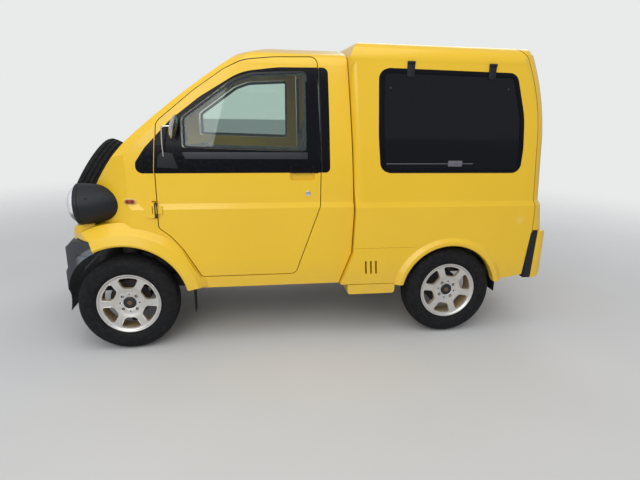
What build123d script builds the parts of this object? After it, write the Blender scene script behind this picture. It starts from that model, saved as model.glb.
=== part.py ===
from build123d import *
import math
import os

# Microcar van: a narrow two-door cab, a separate cargo box behind it and a spare wheel on the nose.
# Millimetres. x runs forward, y to the left, z up from the ground.

# Layout
wheelbase = 1840
track = 1110
tyre_radius = 268
spare_ahead = 243
spare_height = 863
spare_lean = 29
rear_reach = 621

# Clearances
seat_gap = 0.3
running_fit = 0.05
shut_gap = 5
body_gap = 6

# Tyres and wheels
tyre_width = 147
tread_width = 112
crown_drop = 7
rim_width = 116
flange_radius = 169.5
barrel_radius = 157
barrel_wall = 5
disc_thickness = 20
disc_setback = 10
hub_radius = 62
spoke_count = 6
lug_count = 4
lug_circle = 100
lug_radius = 8
rear_wheel_turn = -10
spindle_radius = 20
brake_drum_radius = 105
brake_drum_width = 55
brake_disc_radius = 108
brake_disc_width = 10
brake_disc_inset = 18

# Cab
cab_wall = 42
cab_half_width = 608
sill_height = 338
belt_height = 805
cab_roof = 1652
pillar_chamfer = 40
nose_radius = 60
bulkhead_width = 760
bulkhead_height = 200
bulkhead_z = 1400
band_depth = 3
handle_depth = 18
handle_proud = 3

# Cargo box
box_wall = 30
box_half_width = 640
box_roof = 1697
box_floor = 600
box_floor_thickness = 30
load_board = 4
box_corner_radius = 36
tail_corner_radius = 90
box_wheelhouse_y = 455
seam_height = 556
seam_width = 3
skirt_taper = 12
rear_arch_radius = 290
rear_lip_width = 52
rear_lip_height = 10

# Front wings and bumper
front_arch_radius = 335
wing_radius = 450
wing_half_width = 648
wheelhouse_inner = 334
wheelhouse_wall = 12
bumper_half_width = 632
bumper_wall = 55
bumper_top = 619
bumper_bottom = 205

# Hinge axes of the doors and the tailgate
door_hinge_ahead = -178
door_hinge_y = 612
tailgate_hinge_behind = -283
tailgate_hinge_z = 1692

# Hinges
gate_hinge_y = 90
gate_hinge_radius = 7
gate_pin_radius = 2.5
gate_knuckle_width = 24
gate_side_width = 14
door_hinge_low = 749
door_hinge_high = 830
door_knuckle_height = 40
door_hinge_radius = 8
hinge_pin_radius = 4
knuckle_gap = 0.5

# Headlamps
pod_radius = 110
pod_length = 246
lens_radius = 98
lens_height = 52
lamp_ahead = 227
lamp_y = 505
lamp_z = 806
lamp_tilt = -2

# Steering
steer_ball_y = 462
steer_ball_z = 170
strut_top_y = 402
strut_top_z = 590
strut_radius = 22

# Chassis
rail_y = 283
rail_width = 56
rail_height = 80
rail_low_z = 290
rail_high_z = 500
tow_eye_bore = 14
tow_eye_thickness = 12
tow_eye_ahead = 192
spring_reach = 330

glass_thickness = 5
glass_setback = 5

lower_lean = math.sin(math.radians(spare_lean))
lower_rise = math.cos(math.radians(spare_lean))
front_reach = (
    wheelbase + spare_ahead
    + tyre_radius * lower_lean
    + tread_width / 2 * lower_rise
)
rear_axle_x = (rear_reach - front_reach) / 2
front_axle_x = rear_axle_x + wheelbase
door_hinge_x = front_axle_x + door_hinge_ahead
tailgate_hinge_x = rear_axle_x + tailgate_hinge_behind


# Outlines
def rear(x, z):
    """A point in side view, measured from the rear axle and the ground."""
    return (rear_axle_x + x, z)


def front(x, z):
    """A point in side view, measured from the front axle and the ground."""
    return (front_axle_x + x, z)


def outline(start, *steps):
    """A closed face: a step of one point is a straight edge, a step of two is an arc through the first."""
    edges = []
    here = start
    for step in steps:
        if isinstance(step[0], tuple):
            edges.append(ThreePointArc(here, step[0], step[1]))
            here = step[1]
        else:
            edges.append(Line(here, step))
            here = step
    if here != start:
        edges.append(Line(here, start))
    return make_face(edges)


def rounded(points, radii):
    """A closed polygon with a radius at each corner."""
    return make_face(FilletPolyline(*points, radius=radii, close=True))


def grown(face, amount):
    """The same outline, larger or smaller all round."""
    return offset(face, amount=amount) if amount else face


def across(face, half_width=760):
    """A side-view outline extruded to both sides of the centre line."""
    return extrude(Plane.XZ * face, amount=half_width, both=True)


def between(face, near, far):
    """A side-view outline extruded from one distance off the centre line to another."""
    low, high = sorted((near, far))
    return Pos(0, high, 0) * extrude(Plane.XZ * face, amount=high - low, dir=(0, -1, 0))


def upward(face, height=2000):
    """A plan-view outline extruded up from the ground."""
    return extrude(face, amount=height, dir=(0, 0, 1))


def lengthwise(face):
    """A front-view outline extruded along the whole vehicle."""
    return extrude(Plane.YZ * face, amount=2500, both=True)


def block(x, y, z):
    """A box given by its low and high value on each axis."""
    size = Box(x[1] - x[0], y[1] - y[0], z[1] - z[0])
    return Pos((x[0] + x[1]) / 2, (y[0] + y[1]) / 2, (z[0] + z[1]) / 2) * size


def rod(start, end, radius):
    """A round bar between two points."""
    a = Vector(*start)
    b = Vector(*end)
    plane = Plane(origin=a, z_dir=b - a)
    return extrude(plane * Circle(radius), amount=(b - a).length)


def disc_across(x, z, radius, near, far):
    """A cylinder across the vehicle."""
    low, high = sorted((near, far))
    return Pos(x, (low + high) / 2, z) * Rot(90, 0, 0) * Cylinder(radius, high - low)


def mirrored(shape):
    """The same piece on the right side."""
    return mirror(shape, about=Plane.XZ)


def both_sides(shape):
    """A piece and its mirror image, as separate solids."""
    return Compound(children=[*shape.solids(), *mirrored(shape).solids()])


# Cab
def cab_side_face():
    return outline(
        rear(655 + body_gap, sill_height),
        rear(588 + body_gap, 520),
        rear(583 + body_gap, 760),
        rear(604 + body_gap, 1105),
        rear(642 + body_gap, cab_roof),
        rear(880, cab_roof),
        (rear(1065, cab_roof - 12), front(-630, 1587)),
        (front(-313, 1362), front(-45, 1138)),
        (front(105, 950), front(244, 690)),
        front(262, 640),
        front(200, 560),
        front(200, 380),
        front(-370, sill_height),
    )


def cab_front_face():
    w = cab_half_width
    return outline(
        (-w + 20, sill_height - 8),
        (-w, belt_height - 15),
        (-w + 10, belt_height + 15),
        ((-w + 20, 1200), (-w + 63, 1530)),
        ((-w + 80, 1572), (-w + 123, 1598)),
        ((0, cab_roof), (w - 123, 1598)),
        ((w - 80, 1572), (w - 63, 1530)),
        ((w - 20, 1200), (w - 10, belt_height + 15)),
        (w, belt_height - 15),
        (w - 20, sill_height - 8),
    )


def cab_plan_face():
    back = rear_axle_x + 500
    f = front_axle_x
    face = outline(
        (back, -700),
        (back, 700),
        (f - 330, 700),
        ((f + 20, 560), (f + 215, 400)),
        ((f + 285, 0), (f + 215, -400)),
        ((f + 20, -560), (f - 330, -700)),
    )
    return fillet([corner for corner in face.vertices() if corner.X > f + 200], nose_radius)


def cab_form(inset=0):
    """The cab's outer form, or the same form set in by a wall."""
    side = across(grown(cab_side_face(), -inset))
    section = lengthwise(grown(cab_front_face(), -inset))
    plan = upward(grown(cab_plan_face(), -inset))
    return side & section & plan


def apron_form(inset=0):
    """The lower nose panel under the headlamps, wider than the nose above it."""
    f = front_axle_x
    side = outline(
        front(150, 586), front(150, 704), front(205, 697), front(262, 681), front(300, 598),
        front(288, 586),
    )
    plan = outline(
        (f + 150, -515),
        (f + 150, 515),
        ((f + 248, 500), (f + 285, 430)),
        ((f + 302, 0), (f + 285, -430)),
        ((f + 248, -500), (f + 150, -515)),
    )
    return across(grown(side, -inset)) & upward(grown(plan, -inset))


def is_screen_edge(edge):
    """True on the long edges beside the windscreen."""
    box = edge.bounding_box()
    return abs(edge.center().Y) > 380 and box.min.Z > 1130 and box.size.X > 60 and box.size.Z > 50


def cab_skin():
    """The cab form with a bevel along each windscreen pillar."""
    form = cab_form()
    return chamfer([edge for edge in form.edges() if is_screen_edge(edge)], pillar_chamfer)


def door_face():
    points = [
        rear(1650, 690), rear(1651, 1000), rear(1632, 1240), rear(1440, 1400), rear(1290, 1506),
        rear(1190, 1556), rear(1034, 1574), rear(800, 1582), rear(776, 1000), rear(776, 800),
        rear(912, 402), rear(1437, 402), rear(1530, 566), rear(1590, 640),
    ]
    radii = [30, 90, 60, 400, 120, 250, 300, 40, 500, 90, 40, 25, 150, 90]
    return rounded(points, radii)


def door_window_face():
    points = [
        rear(1508, 1110), rear(1508, 1264), rear(1245, 1456), rear(1150, 1490), rear(866, 1508),
        rear(858, 1094),
    ]
    return rounded(points, [20, 35, 200, 150, 30, 25])


def band_face():
    """Outline of the black band round the side windows, over door, pillar and front quarter."""
    points = [
        rear(1741, 980), rear(1743, 1035), rear(1690, 1112), rear(1560, 1248), rear(1408, 1366),
        rear(1200, 1494), rear(1010, 1520), rear(746, 1526), rear(728, 982),
    ]
    return rounded(points, [35, 40, 120, 200, 300, 300, 400, 30, 25])


def screen_plane():
    """The plane of the windscreen, from its base to the roof."""
    base = Vector(front_axle_x - 45, 0, 1138)
    top = Vector(front_axle_x - 630, 0, 1587)
    normal = Vector(top.Z - base.Z, 0, base.X - top.X)
    return Plane(origin=(base + top) * 0.5, x_dir=(0, 1, 0), z_dir=normal)


def screen_opening(grow=0):
    """A prism through the windscreen opening, wider at its foot."""
    points = [(-505, -338), (505, -338), (455, 318), (-455, 318)]
    if screen_plane().y_dir.Z < 0:
        points = [(x, -y) for x, y in points]
    face = grown(rounded(points, 70), grow)
    return extrude(screen_plane() * face, amount=150, both=True)


def bulkhead_opening(grow=0):
    """The opening through the cab's rear wall and the box's front wall."""
    face = grown(RectangleRounded(bulkhead_width, bulkhead_height, 50), grow)
    middle = Plane(origin=(rear_axle_x + 640, 0, bulkhead_z), x_dir=(0, 1, 0), z_dir=(1, 0, 0))
    return extrude(middle * face, amount=120, both=True)


def wheelhouse(radius, inner):
    """The round space for a front wheel, as a drum from the side inwards."""
    return disc_across(front_axle_x, tyre_radius, radius, inner, 760)


def seat_box(wall=0):
    """The raised floor under the seats, over the engine."""
    return block(
        (rear_axle_x + 655 + wall, rear_axle_x + 1190 - wall),
        (-cab_half_width + 75 + wall, cab_half_width - 75 - wall),
        (sill_height - 60, 640 - wall),
    )


def cab_shell():
    inner = cab_form(cab_wall)
    shell = cab_skin() - inner
    shell -= across(door_face())
    shell -= screen_opening()
    shell -= bulkhead_opening()
    house = wheelhouse(front_arch_radius + wheelhouse_wall, wheelhouse_inner - wheelhouse_wall)
    house = house & inner
    drum = wheelhouse(front_arch_radius, wheelhouse_inner)
    hump = seat_box() & inner
    shell = shell + house + mirrored(house) + hump
    shell -= drum
    shell -= mirrored(drum)
    recess = band_recess()
    shell -= recess
    shell -= mirrored(recess)
    shell += apron_form() - inner
    shell -= spare_space(8)
    shell -= seat_box(box_wall)
    pocket = door_hinge_pocket()
    shell -= pocket
    shell -= mirrored(pocket)
    hinge = door_hinge_on_cab()
    return shell + hinge + mirrored(hinge)


def on_cab(face, outer, inner, near=300):
    """A sheet that follows the cab's left side between two depths, inside a side-view outline."""
    return (cab_form(outer) - cab_form(inner)) & between(face, near, 760)


def band_recess():
    """The shallow step that the black surround lies in."""
    return on_cab(grown(band_face(), seat_gap), -1, band_depth)


def handle_face():
    return rounded([rear(820, 981), rear(820, 1014), rear(940, 1014), rear(940, 981)], 9)


def handle_pocket_face():
    return rounded([rear(814, 941), rear(814, 1018), rear(946, 1018), rear(946, 941)], 11)


def door():
    sheet = cab_form() - cab_form(cab_wall)
    leaf = sheet & between(grown(door_face(), -shut_gap), 300, 760)
    window = between(door_window_face(), 300, 760)
    pocket = on_cab(handle_pocket_face(), -1, handle_depth)
    return leaf - window - band_recess() - pocket + door_hinge_on_door()


def door_glass():
    return on_cab(grown(door_window_face(), -seat_gap), glass_setback, glass_setback + glass_thickness)


def door_band():
    """The black surround of the door window, let into the door's face, and the handle's flap."""
    ring = on_cab(band_face(), 0, band_depth - seat_gap)
    leaf = between(grown(door_face(), -shut_gap), 300, 760)
    ring = (ring & leaf) - between(door_window_face(), 300, 760)
    ring -= between(handle_pocket_face(), 300, 760)
    flap = on_cab(handle_face(), -handle_proud, handle_depth - seat_gap)
    return Compound(children=[*ring.solids(), *flap.solids()])


def pillar_bands():
    """The parts of the black surround that stay on the cab, ahead of and behind the door."""
    ring = on_cab(band_face(), 0, band_depth - seat_gap)
    return ring - between(grown(door_face(), shut_gap), 300, 760)


def windscreen():
    sheet = cab_form(glass_setback) - cab_form(glass_setback + glass_thickness)
    ahead = block((rear_axle_x + 900, front_axle_x + 400), (-760, 760), (1100, 1750))
    return sheet & screen_opening(-seat_gap) & ahead


# Hinges
def gate_barrel(radius, near, far):
    """A cylinder about the tailgate's hinge axis, at both hinges."""
    x = tailgate_hinge_x
    z = tailgate_hinge_z
    left = disc_across(x, z, radius, gate_hinge_y + near, gate_hinge_y + far)
    right = disc_across(x, z, radius, -gate_hinge_y + near, -gate_hinge_y + far)
    return left + right


def gate_hinge_sides():
    """Where each hinge's fixed knuckles start and end, on both sides of the moving one."""
    near = gate_knuckle_width / 2 + knuckle_gap
    far = near + gate_side_width
    return (near, far), (-far, -near)


def gate_hinge_on_gate(leaf):
    """Cut the leaf clear of the fixed knuckles, and add its own with their bores."""
    for near, far in gate_hinge_sides():
        leaf -= gate_barrel(gate_hinge_radius + 3.5, near - knuckle_gap, far + knuckle_gap)
    half = gate_knuckle_width / 2
    leaf += gate_barrel(gate_hinge_radius, -half, half)
    return leaf - gate_barrel(gate_pin_radius + running_fit, -half - 5, half + 5)


def gate_hinge_on_box(box):
    """Cut the roof edge clear of the moving knuckles, and add the fixed ones with their pins."""
    half = gate_knuckle_width / 2 + knuckle_gap
    box -= gate_barrel(gate_hinge_radius + 3.5, -half, half)
    for near, far in gate_hinge_sides():
        box += gate_barrel(gate_hinge_radius, near, far)
    return box + gate_barrel(gate_pin_radius, -half - 1, half + 1)


def upright(x, y, radius, low, high):
    """A cylinder about an upright axis."""
    return Pos(x, y, (low + high) / 2) * Cylinder(radius, high - low)


def door_hinge_on_door():
    """The left door's knuckle and the leaf that runs back onto the door."""
    middle = (door_hinge_low + door_hinge_high) / 2
    low = middle - door_knuckle_height / 2
    high = middle + door_knuckle_height / 2
    y = door_hinge_y
    leaf = block((door_hinge_x - 40, door_hinge_x), (y - 24, y + 4), (low, high))
    leaf += upright(door_hinge_x, y, door_hinge_radius, low, high)
    return leaf - upright(door_hinge_x, y, hinge_pin_radius + running_fit, low - 5, high + 5)


def door_hinge_pocket():
    """The open recess in the pillar that the door's knuckle sits in."""
    return block(
        (door_hinge_x - 30, door_hinge_x + 12),
        (door_hinge_y - 34, door_hinge_y + 60),
        (door_hinge_low - shut_gap, door_hinge_high + shut_gap),
    )


def door_hinge_on_cab():
    """A tapered boss on the left front pillar, with two knuckles and a pin."""
    middle = (door_hinge_low + door_hinge_high) / 2
    reach = door_knuckle_height / 2 + knuckle_gap
    x = door_hinge_x
    y = door_hinge_y
    plan = outline((x, y + 6), (x + 14, y + 6), (x + 75, y - 12), (x + 75, y - 30), (x, y - 30))
    boss = Pos(0, 0, door_hinge_low) * upward(plan, door_hinge_high - door_hinge_low)
    boss += upright(x, y, door_hinge_radius, door_hinge_low, door_hinge_high)
    boss -= upright(x, y, door_hinge_radius + 4, middle - reach, middle + reach)
    boss -= block((x - 40, x), (y - 40, y + 20), (middle - reach, middle + reach))
    return boss + upright(x, y, hinge_pin_radius, middle - reach - 1, middle + reach + 1)


# Cargo box
def box_side_face():
    return outline(
        rear(655, sill_height),
        rear(588, 520),
        rear(583, 760),
        rear(604, 1105),
        rear(640, 1580),
        (rear(607, 1640), rear(540, box_roof - 25)),
        (rear(100, box_roof), rear(-300, box_roof - 6)),
        (rear(-370, box_roof - 30), rear(-420, 1620)),
        (rear(-498, 1360), rear(-530, 1105)),
        rear(-548, belt_height + 15),
        rear(-563, belt_height - 15),
        rear(-588, 640),
        rear(-588, 500),
        rear(-540, 372),
        rear(-300, sill_height - 4),
    )


def box_front_face():
    w = box_half_width
    return outline(
        (-w + skirt_taper, sill_height - 8),
        (-w, belt_height - 15),
        (-w + 8, belt_height + 15),
        (-w + 22, 1560),
        ((-w + 42, 1624), (-w + 100, 1655)),
        (-150, box_roof - 7),
        ((0, box_roof), (150, box_roof - 7)),
        (w - 100, 1655),
        ((w - 42, 1624), (w - 22, 1560)),
        (w - 8, belt_height + 15),
        (w, belt_height - 15),
        (w - skirt_taper, sill_height - 8),
    )


def box_sides(inset=0):
    """The cargo box with square rear corners, or the same form set in by a wall."""
    side = across(grown(box_side_face(), -inset))
    return side & lengthwise(grown(box_front_face(), -inset))


def tail_corner_face(turn):
    """How far the box reaches at each height, seen along its rounded rear corner."""
    rows = [
        {"height": 330, "behind": 588, "half_width": 628},
        {"height": 640, "behind": 588, "half_width": 636},
        {"height": 790, "behind": 563, "half_width": 640},
        {"height": 820, "behind": 548, "half_width": 632},
        {"height": 1105, "behind": 530, "half_width": 627},
        {"height": 1360, "behind": 498, "half_width": 622},
        {"height": 1620, "behind": 420, "half_width": 601},
        {"height": 1760, "behind": 330, "half_width": 520},
    ]
    across_part = math.cos(math.radians(turn))
    side_part = math.sin(math.radians(turn))
    taken_off = tail_corner_radius * (across_part + side_part - 1)
    edge = [
        (row["behind"] * across_part + row["half_width"] * side_part - taken_off, row["height"])
        for row in rows
    ]
    return outline((-2500, 100), (edge[0][0], 100), *edge[:5], (edge[5], edge[6]), edge[7], (-2500, 1760))


def tail_corner(turn, inset):
    """Everything inside one facet of the left rear corner."""
    flat = math.radians(turn)
    toward = (-math.cos(flat), math.sin(flat), 0)
    along = (math.sin(flat), math.cos(flat), 0)
    view = Plane(origin=(rear_axle_x, 0, 0), x_dir=toward, z_dir=along)
    return extrude(view * grown(tail_corner_face(turn), -inset), amount=2500, both=True)


def box_form(inset=0):
    """The cargo box with its tailgate shut, or the same form set in by a wall."""
    form = box_sides(inset)
    for turn in (22.5, 45, 67.5):
        corner = tail_corner(turn, inset)
        form = form & corner & mirrored(corner)
    return form


def tailgate_zone(grow=0):
    """Everything behind the tailgate's shut line and above the bumper."""
    face = outline(
        rear(-285, 1760),
        rear(-285, 1682),
        rear(-355, 1607),
        (rear(-430, 1390), rear(-458, 1226)),
        rear(-480, 942),
        rear(-487, belt_height + 20),
        rear(-497, belt_height - 20),
        rear(-503, 640),
        rear(-760, 640),
        rear(-760, 1760),
    )
    return across(grown(face, grow))


def rear_bumper_zone(grow=0):
    """Everything behind the box side's rear edge, below the tailgate."""
    face = outline(
        rear(-503, 640),
        rear(-494, 620),
        rear(-472, 360),
        rear(-472, 200),
        rear(-760, 200),
        rear(-760, 640),
    )
    return across(grown(face, grow))


def box_window_face():
    points = [
        rear(452, 985), rear(473, 1180), rear(488, 1527), rear(-282, 1520), rear(-352, 1290),
        rear(-367, 1120), rear(-362, 984),
    ]
    return rounded(points, [56, 800, 52, 56, 500, 300, 52])


def tailgate_window_face():
    return RectangleRounded(860, 470, 80)


def tailgate_window(grow=0):
    """A prism through the tailgate's window."""
    middle = Plane(origin=(rear_axle_x - 480, 0, 1270), x_dir=(0, 1, 0), z_dir=(1, 0, 0.1))
    return extrude(middle * grown(tailgate_window_face(), grow), amount=160, both=True)


def louvres():
    """Three leaning slots in each lower box side."""
    slots = []
    for x in (481 - 30, 481, 481 + 30):
        face = Pos(*rear(x, 437)) * Rot(0, 0, -4) * Rectangle(10, 80)
        slots.append(across(face))
    return slots


def box_rear_lip():
    """The half-round lip round the rear wheel arch."""
    inner = rear_arch_radius
    outer = rear_arch_radius + rear_lip_width
    face_y = box_half_width - box_wall
    lip_y = box_half_width + rear_lip_height
    profile = outline(
        (inner, face_y),
        (inner, lip_y - 5),
        (inner + 8, lip_y),
        (inner + 24, lip_y),
        (outer, box_half_width - 9),
        (outer, face_y),
    )
    ring = revolve(Plane.XY * profile, axis=Axis.Y)
    ring = Pos(rear_axle_x, 0, tyre_radius) * ring
    keep = block((rear_axle_x - 340, rear_axle_x + 340), (500, 760), (sill_height - 10, 700))
    return ring & keep


def sill_box():
    """The low painted step under the front of the box side."""
    face = rounded(
        [rear(331, 275), rear(331, 333), rear(614, 333), rear(614, 275)],
        [18, 2, 2, 18],
    )
    return between(face, box_half_width - 130, box_half_width - 14)


def is_box_corner(edge):
    """True on the upright front edges of the box, above the belt."""
    box = edge.bounding_box()
    ahead = box.min.X > rear_axle_x + 560 and box.max.X < rear_axle_x + 650
    return ahead and box.min.Z > belt_height and box.size.Z > 150


def box_wheelhouse():
    """The liner over the left rear wheel: an arch and its inner wall."""
    radius = rear_arch_radius + wheelhouse_wall
    far = box_half_width - 20
    liner = disc_across(rear_axle_x, tyre_radius, radius, box_wheelhouse_y, far)
    liner -= disc_across(rear_axle_x, tyre_radius, rear_arch_radius, box_wheelhouse_y + wheelhouse_wall, far + 5)
    return liner & block((-2500, 2500), (0, 760), (sill_height, box_floor - box_floor_thickness + 5))


def box_skin():
    """The box form with its upright front edges rounded."""
    form = box_form()
    return fillet([edge for edge in form.edges() if is_box_corner(edge)], box_corner_radius)


def cargo_box():
    outer = box_skin()
    skirt_y = box_half_width - skirt_taper - box_wall
    hold = box_form(box_wall) & block((-2500, 2500), (-760, 760), (box_floor, 1800))
    under = box_form(box_wall) & block((-2500, 2500), (-760, 760), (0, box_floor - box_floor_thickness))
    under += block(
        (rear_axle_x - 500, rear_axle_x + 570),
        (-skirt_y, skirt_y),
        (0, sill_height + 60),
    )
    box = outer - hold - under
    lip = box_rear_lip()
    box = box + lip + mirrored(lip)
    box -= disc_across(rear_axle_x, tyre_radius, rear_arch_radius, -760, 760)
    house = box_wheelhouse()
    box = box + house + mirrored(house)
    box -= across(box_window_face())
    box -= bulkhead_opening()
    for slot in louvres():
        box -= slot
    box -= tailgate_zone(shut_gap)
    box -= rear_bumper_zone(seat_gap)
    step = sill_box()
    board = block(
        (rear_axle_x - 470, rear_axle_x + 540),
        (-box_half_width + 66, box_half_width - 66),
        (box_floor - 5, box_floor + load_board),
    )
    seam = block(
        (rear_axle_x + 209, rear_axle_x + 620),
        (box_half_width - 9, 760),
        (seam_height - seam_width, seam_height),
    )
    box = box + step + mirrored(step) + board - seam - mirrored(seam)
    return gate_hinge_on_box(box)


def box_window():
    sheet = box_sides(1) - box_sides(1 + glass_thickness)
    return sheet & between(grown(box_window_face(), -seat_gap), 500, 760)


def window_fittings():
    """Two strap hinges over the box window and a turn latch below it."""
    pieces = []
    skin = box_sides(-seat_gap)
    for x in (324, -135):
        strap = outline(rear(x - 20, 1487), rear(x - 20, 1567), rear(x + 20, 1567), rear(x + 20, 1487))
        pieces.append((box_sides(-9) - skin) & between(strap, 500, 760))
    latch = outline(rear(-4, 1022), rear(-4, 1047), rear(78, 1047), rear(78, 1022))
    pieces.append((box_sides(-15) - skin) & between(latch, 500, 760))
    return Compound(children=[solid for piece in pieces for solid in both_sides(piece).solids()])


def tailgate():
    shell = box_form() - box_form(box_wall)
    leaf = (shell & tailgate_zone()) - tailgate_window()
    return gate_hinge_on_gate(leaf)


def tailgate_glass():
    sheet = box_form(3) - box_form(3 + glass_thickness)
    behind = block((rear_axle_x - 760, rear_axle_x - 300), (-760, 760), (900, 1700))
    return sheet & tailgate_window(-seat_gap) & behind


def rear_bumper_form(inset=0):
    side = grown(
        outline(
            rear(-486, 634),
            rear(-560, 634),
            (rear(-608, 615), rear(-613, 570)),
            rear(-613, 455),
            (rear(-606, 385), rear(-560, 342)),
            rear(-480, 342),
        ),
        -inset,
    )
    w = box_half_width - 4 - inset
    back = rear_axle_x - rear_reach + 8 + inset
    r = 70 - inset
    plan = outline(
        (back + 160, -w),
        (back + r, -w),
        ((back + 0.29 * r, -w + 0.29 * r), (back, -w + r)),
        ((back - 8, 0), (back, w - r)),
        ((back + 0.29 * r, w - 0.29 * r), (back + r, w)),
        (back + 160, w),
    )
    return across(side) & upward(plan, 900)


def strip_zone():
    """The band of the rear bumper that is black: its forward end on each side."""
    face = outline(
        rear(-440, 650), rear(-538, 650), rear(-527, 360), rear(-520, 300), rear(-440, 300),
    )
    return across(face)


def tail_lamp_face(grow=0):
    return grown(RectangleRounded(110, 150, 20), grow)


def tail_lamp_prism(grow=0):
    middle = Plane(origin=(rear_axle_x - 600, box_half_width - 150, 500), x_dir=(0, 1, 0), z_dir=(1, 0, 0))
    return extrude(middle * tail_lamp_face(grow), amount=80, both=True)


def rear_bumper_shell():
    shell = rear_bumper_form() - rear_bumper_form(bumper_wall / 2)
    shell -= block((rear_axle_x - 540, rear_axle_x), (-box_half_width + 45, box_half_width - 45), (0, 900))
    return shell & rear_bumper_zone()


def rear_bumper():
    shell = rear_bumper_shell() - strip_zone()
    lamp = tail_lamp_prism()
    return shell - lamp - mirrored(lamp)


def rear_bumper_ends():
    left = block((-2500, 2500), (300, 760), (0, 900))
    return both_sides(rear_bumper_shell() & left & Pos(seat_gap, 0, 0) * strip_zone())


def tail_lamps():
    sheet = rear_bumper_form(2) - rear_bumper_form(24)
    lamp = sheet & tail_lamp_prism(-seat_gap)
    lamp = lamp & block((rear_axle_x - 700, rear_axle_x - 560), (300, 760), (300, 700))
    return both_sides(lamp)


# Front wings, bumper and lamps
def wing():
    """A round wing over the front wheel, bulging out beyond the cab."""
    out = wing_half_width
    profile = outline(
        (front_arch_radius, 300),
        (front_arch_radius, out - 6),
        (front_arch_radius + 10, out),
        (front_arch_radius + 60, out - 10),
        (wing_radius, out - 66),
        (wing_radius, 300),
    )
    ring = Pos(front_axle_x, 0, tyre_radius) * revolve(Plane.XY * profile, axis=Axis.Y)
    side = outline(
        front(134, 555), front(158, 632), front(330, 620), front(330, 900), front(-600, 900),
        front(-600, 352), front(-380, 352), front(-290, 338), front(-150, 338), front(0, 400),
    )
    f = front_axle_x
    plan = outline(
        (f - 600, 300), (f - 600, 700), (f + 60, 700), ((f + 180, 612), (f + 262, 480)), (f + 290, 300),
    )
    ring = ring & across(side) & upward(plan)
    return ring - cab_form(-seat_gap) - apron_form(-seat_gap) - across(grown(door_face(), shut_gap))


def bumper_plan(inset=0):
    f = front_axle_x
    w = bumper_half_width - inset
    return outline(
        (f + 40, -w),
        ((f + 205, -w + 32), (f + 312 - inset, -w + 112)),
        ((f + 350 - inset, 0), (f + 312 - inset, w - 112)),
        ((f + 205, w - 32), (f + 40, w)),
    )


def bumper_side():
    return outline(
        front(134 + 1, 555), front(160, 628), front(250, bumper_top), front(276, bumper_top - 15),
        front(318, bumper_top - 48), (front(374, 540), front(390, 480)), front(390, 330),
        (front(372, 240), front(330, bumper_bottom)), front(60, bumper_bottom - 20), front(60, 400),
    )


def front_bumper():
    """The black bumper, wrapped round ahead of the front wheels."""
    outer = upward(bumper_plan(), 900)
    inner = upward(bumper_plan(bumper_wall), 900)
    shell = (outer - inner) & across(bumper_side())
    arch = disc_across(front_axle_x, tyre_radius, front_arch_radius - 8, -760, 760)
    intake = Plane(origin=(front_axle_x + 300, 0, 400), x_dir=(0, 1, 0), z_dir=(1, 0, 0))
    lip = upward(bumper_plan(-8), 900) - upward(bumper_plan(30), 900)
    lip = lip & across(Pos(front_axle_x, tyre_radius) * Circle(front_arch_radius + 28))
    lip = lip & block((front_axle_x + 134, front_axle_x + 500), (-760, 760), (bumper_bottom, 545))
    slots = [
        extrude(intake * (Pos(0, row * 46) * Rectangle(520, 28)), amount=200, both=True)
        for row in (-1, 0, 1)
    ]
    shell = shell + lip - arch
    for slot in slots:
        shell -= slot
    return shell - cab_form(-seat_gap) - apron_form(-seat_gap) - spare_space(8)


def lamp_place():
    """The left headlamp: its rim's centre, facing forward and slightly down."""
    return Pos(front_axle_x + lamp_ahead, lamp_y, lamp_z) * Rot(0, 90 - lamp_tilt, 0)


def headlamp_pod():
    """The egg-shaped black housing, let into the corner of the nose."""
    turns = [math.radians(angle) for angle in (8, 24, 42, 62, 84)]
    egg = [(pod_radius * math.sin(turn), -pod_length * math.cos(turn)) for turn in turns]
    profile = outline(
        (0, egg[0][1]),
        *egg,
        (pod_radius - 3, 0),
        (lens_radius + seat_gap, 0),
        (lens_radius + seat_gap, -30),
        (0, -30),
    )
    pod = lamp_place() * revolve(Plane.XZ * profile, axis=Axis.Z)
    return pod - cab_form(-seat_gap) - apron_form(-seat_gap)


def headlamp_lens():
    shares = (1, 0.94, 0.8, 0.5, 0.15)
    dome = [(lens_radius * share, 2 + lens_height * math.sqrt(1 - share**2)) for share in shares]
    profile = outline((0, -26), (lens_radius, -26), *dome, (0, dome[-1][1]))
    lens = lamp_place() * revolve(Plane.XZ * profile, axis=Axis.Z)
    return lens - cab_form(-seat_gap) - apron_form(-seat_gap)


def side_marker():
    face = Pos(*front(-49, 834)) * chamfer(Rectangle(60, 32).vertices(), 8)
    return (cab_form(-10) - cab_form(-seat_gap)) & between(face, 300, 760)


# Wheels
def tyre():
    """A closed tyre about the y axis, its outer side towards +y."""
    half = tyre_width / 2
    tread = tread_width / 2
    bead = barrel_radius + seat_gap
    seat = rim_width / 2 - 13
    bulge = bead + 48
    profile = outline(
        (bead, -seat),
        (tyre_radius - 22, -half + 8),
        (tyre_radius - crown_drop, -tread + 4),
        (tyre_radius, -tread + 32),
        (tyre_radius, tread - 32),
        (tyre_radius - crown_drop, tread - 4),
        (tyre_radius - 22, half - 6),
        (bulge, half),
        (bead, seat),
    )
    return revolve(Plane.XY * profile, axis=Axis.Y)


def rim_barrel():
    half = rim_width / 2
    profile = outline(
        (barrel_radius, -half + 12),
        (flange_radius, -half),
        (barrel_radius - barrel_wall, -half),
        (barrel_radius - barrel_wall, half),
        (flange_radius, half),
        (barrel_radius, half - 12),
    )
    return revolve(Plane.XY * profile, axis=Axis.Y)


def spoke_window():
    """One opening between two spokes, in the wheel's own plane."""
    low = hub_radius + 20
    return rounded([(-22, low), (22, low), (56, 142), (-56, 142)], [8, 8, 22, 22])


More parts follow.
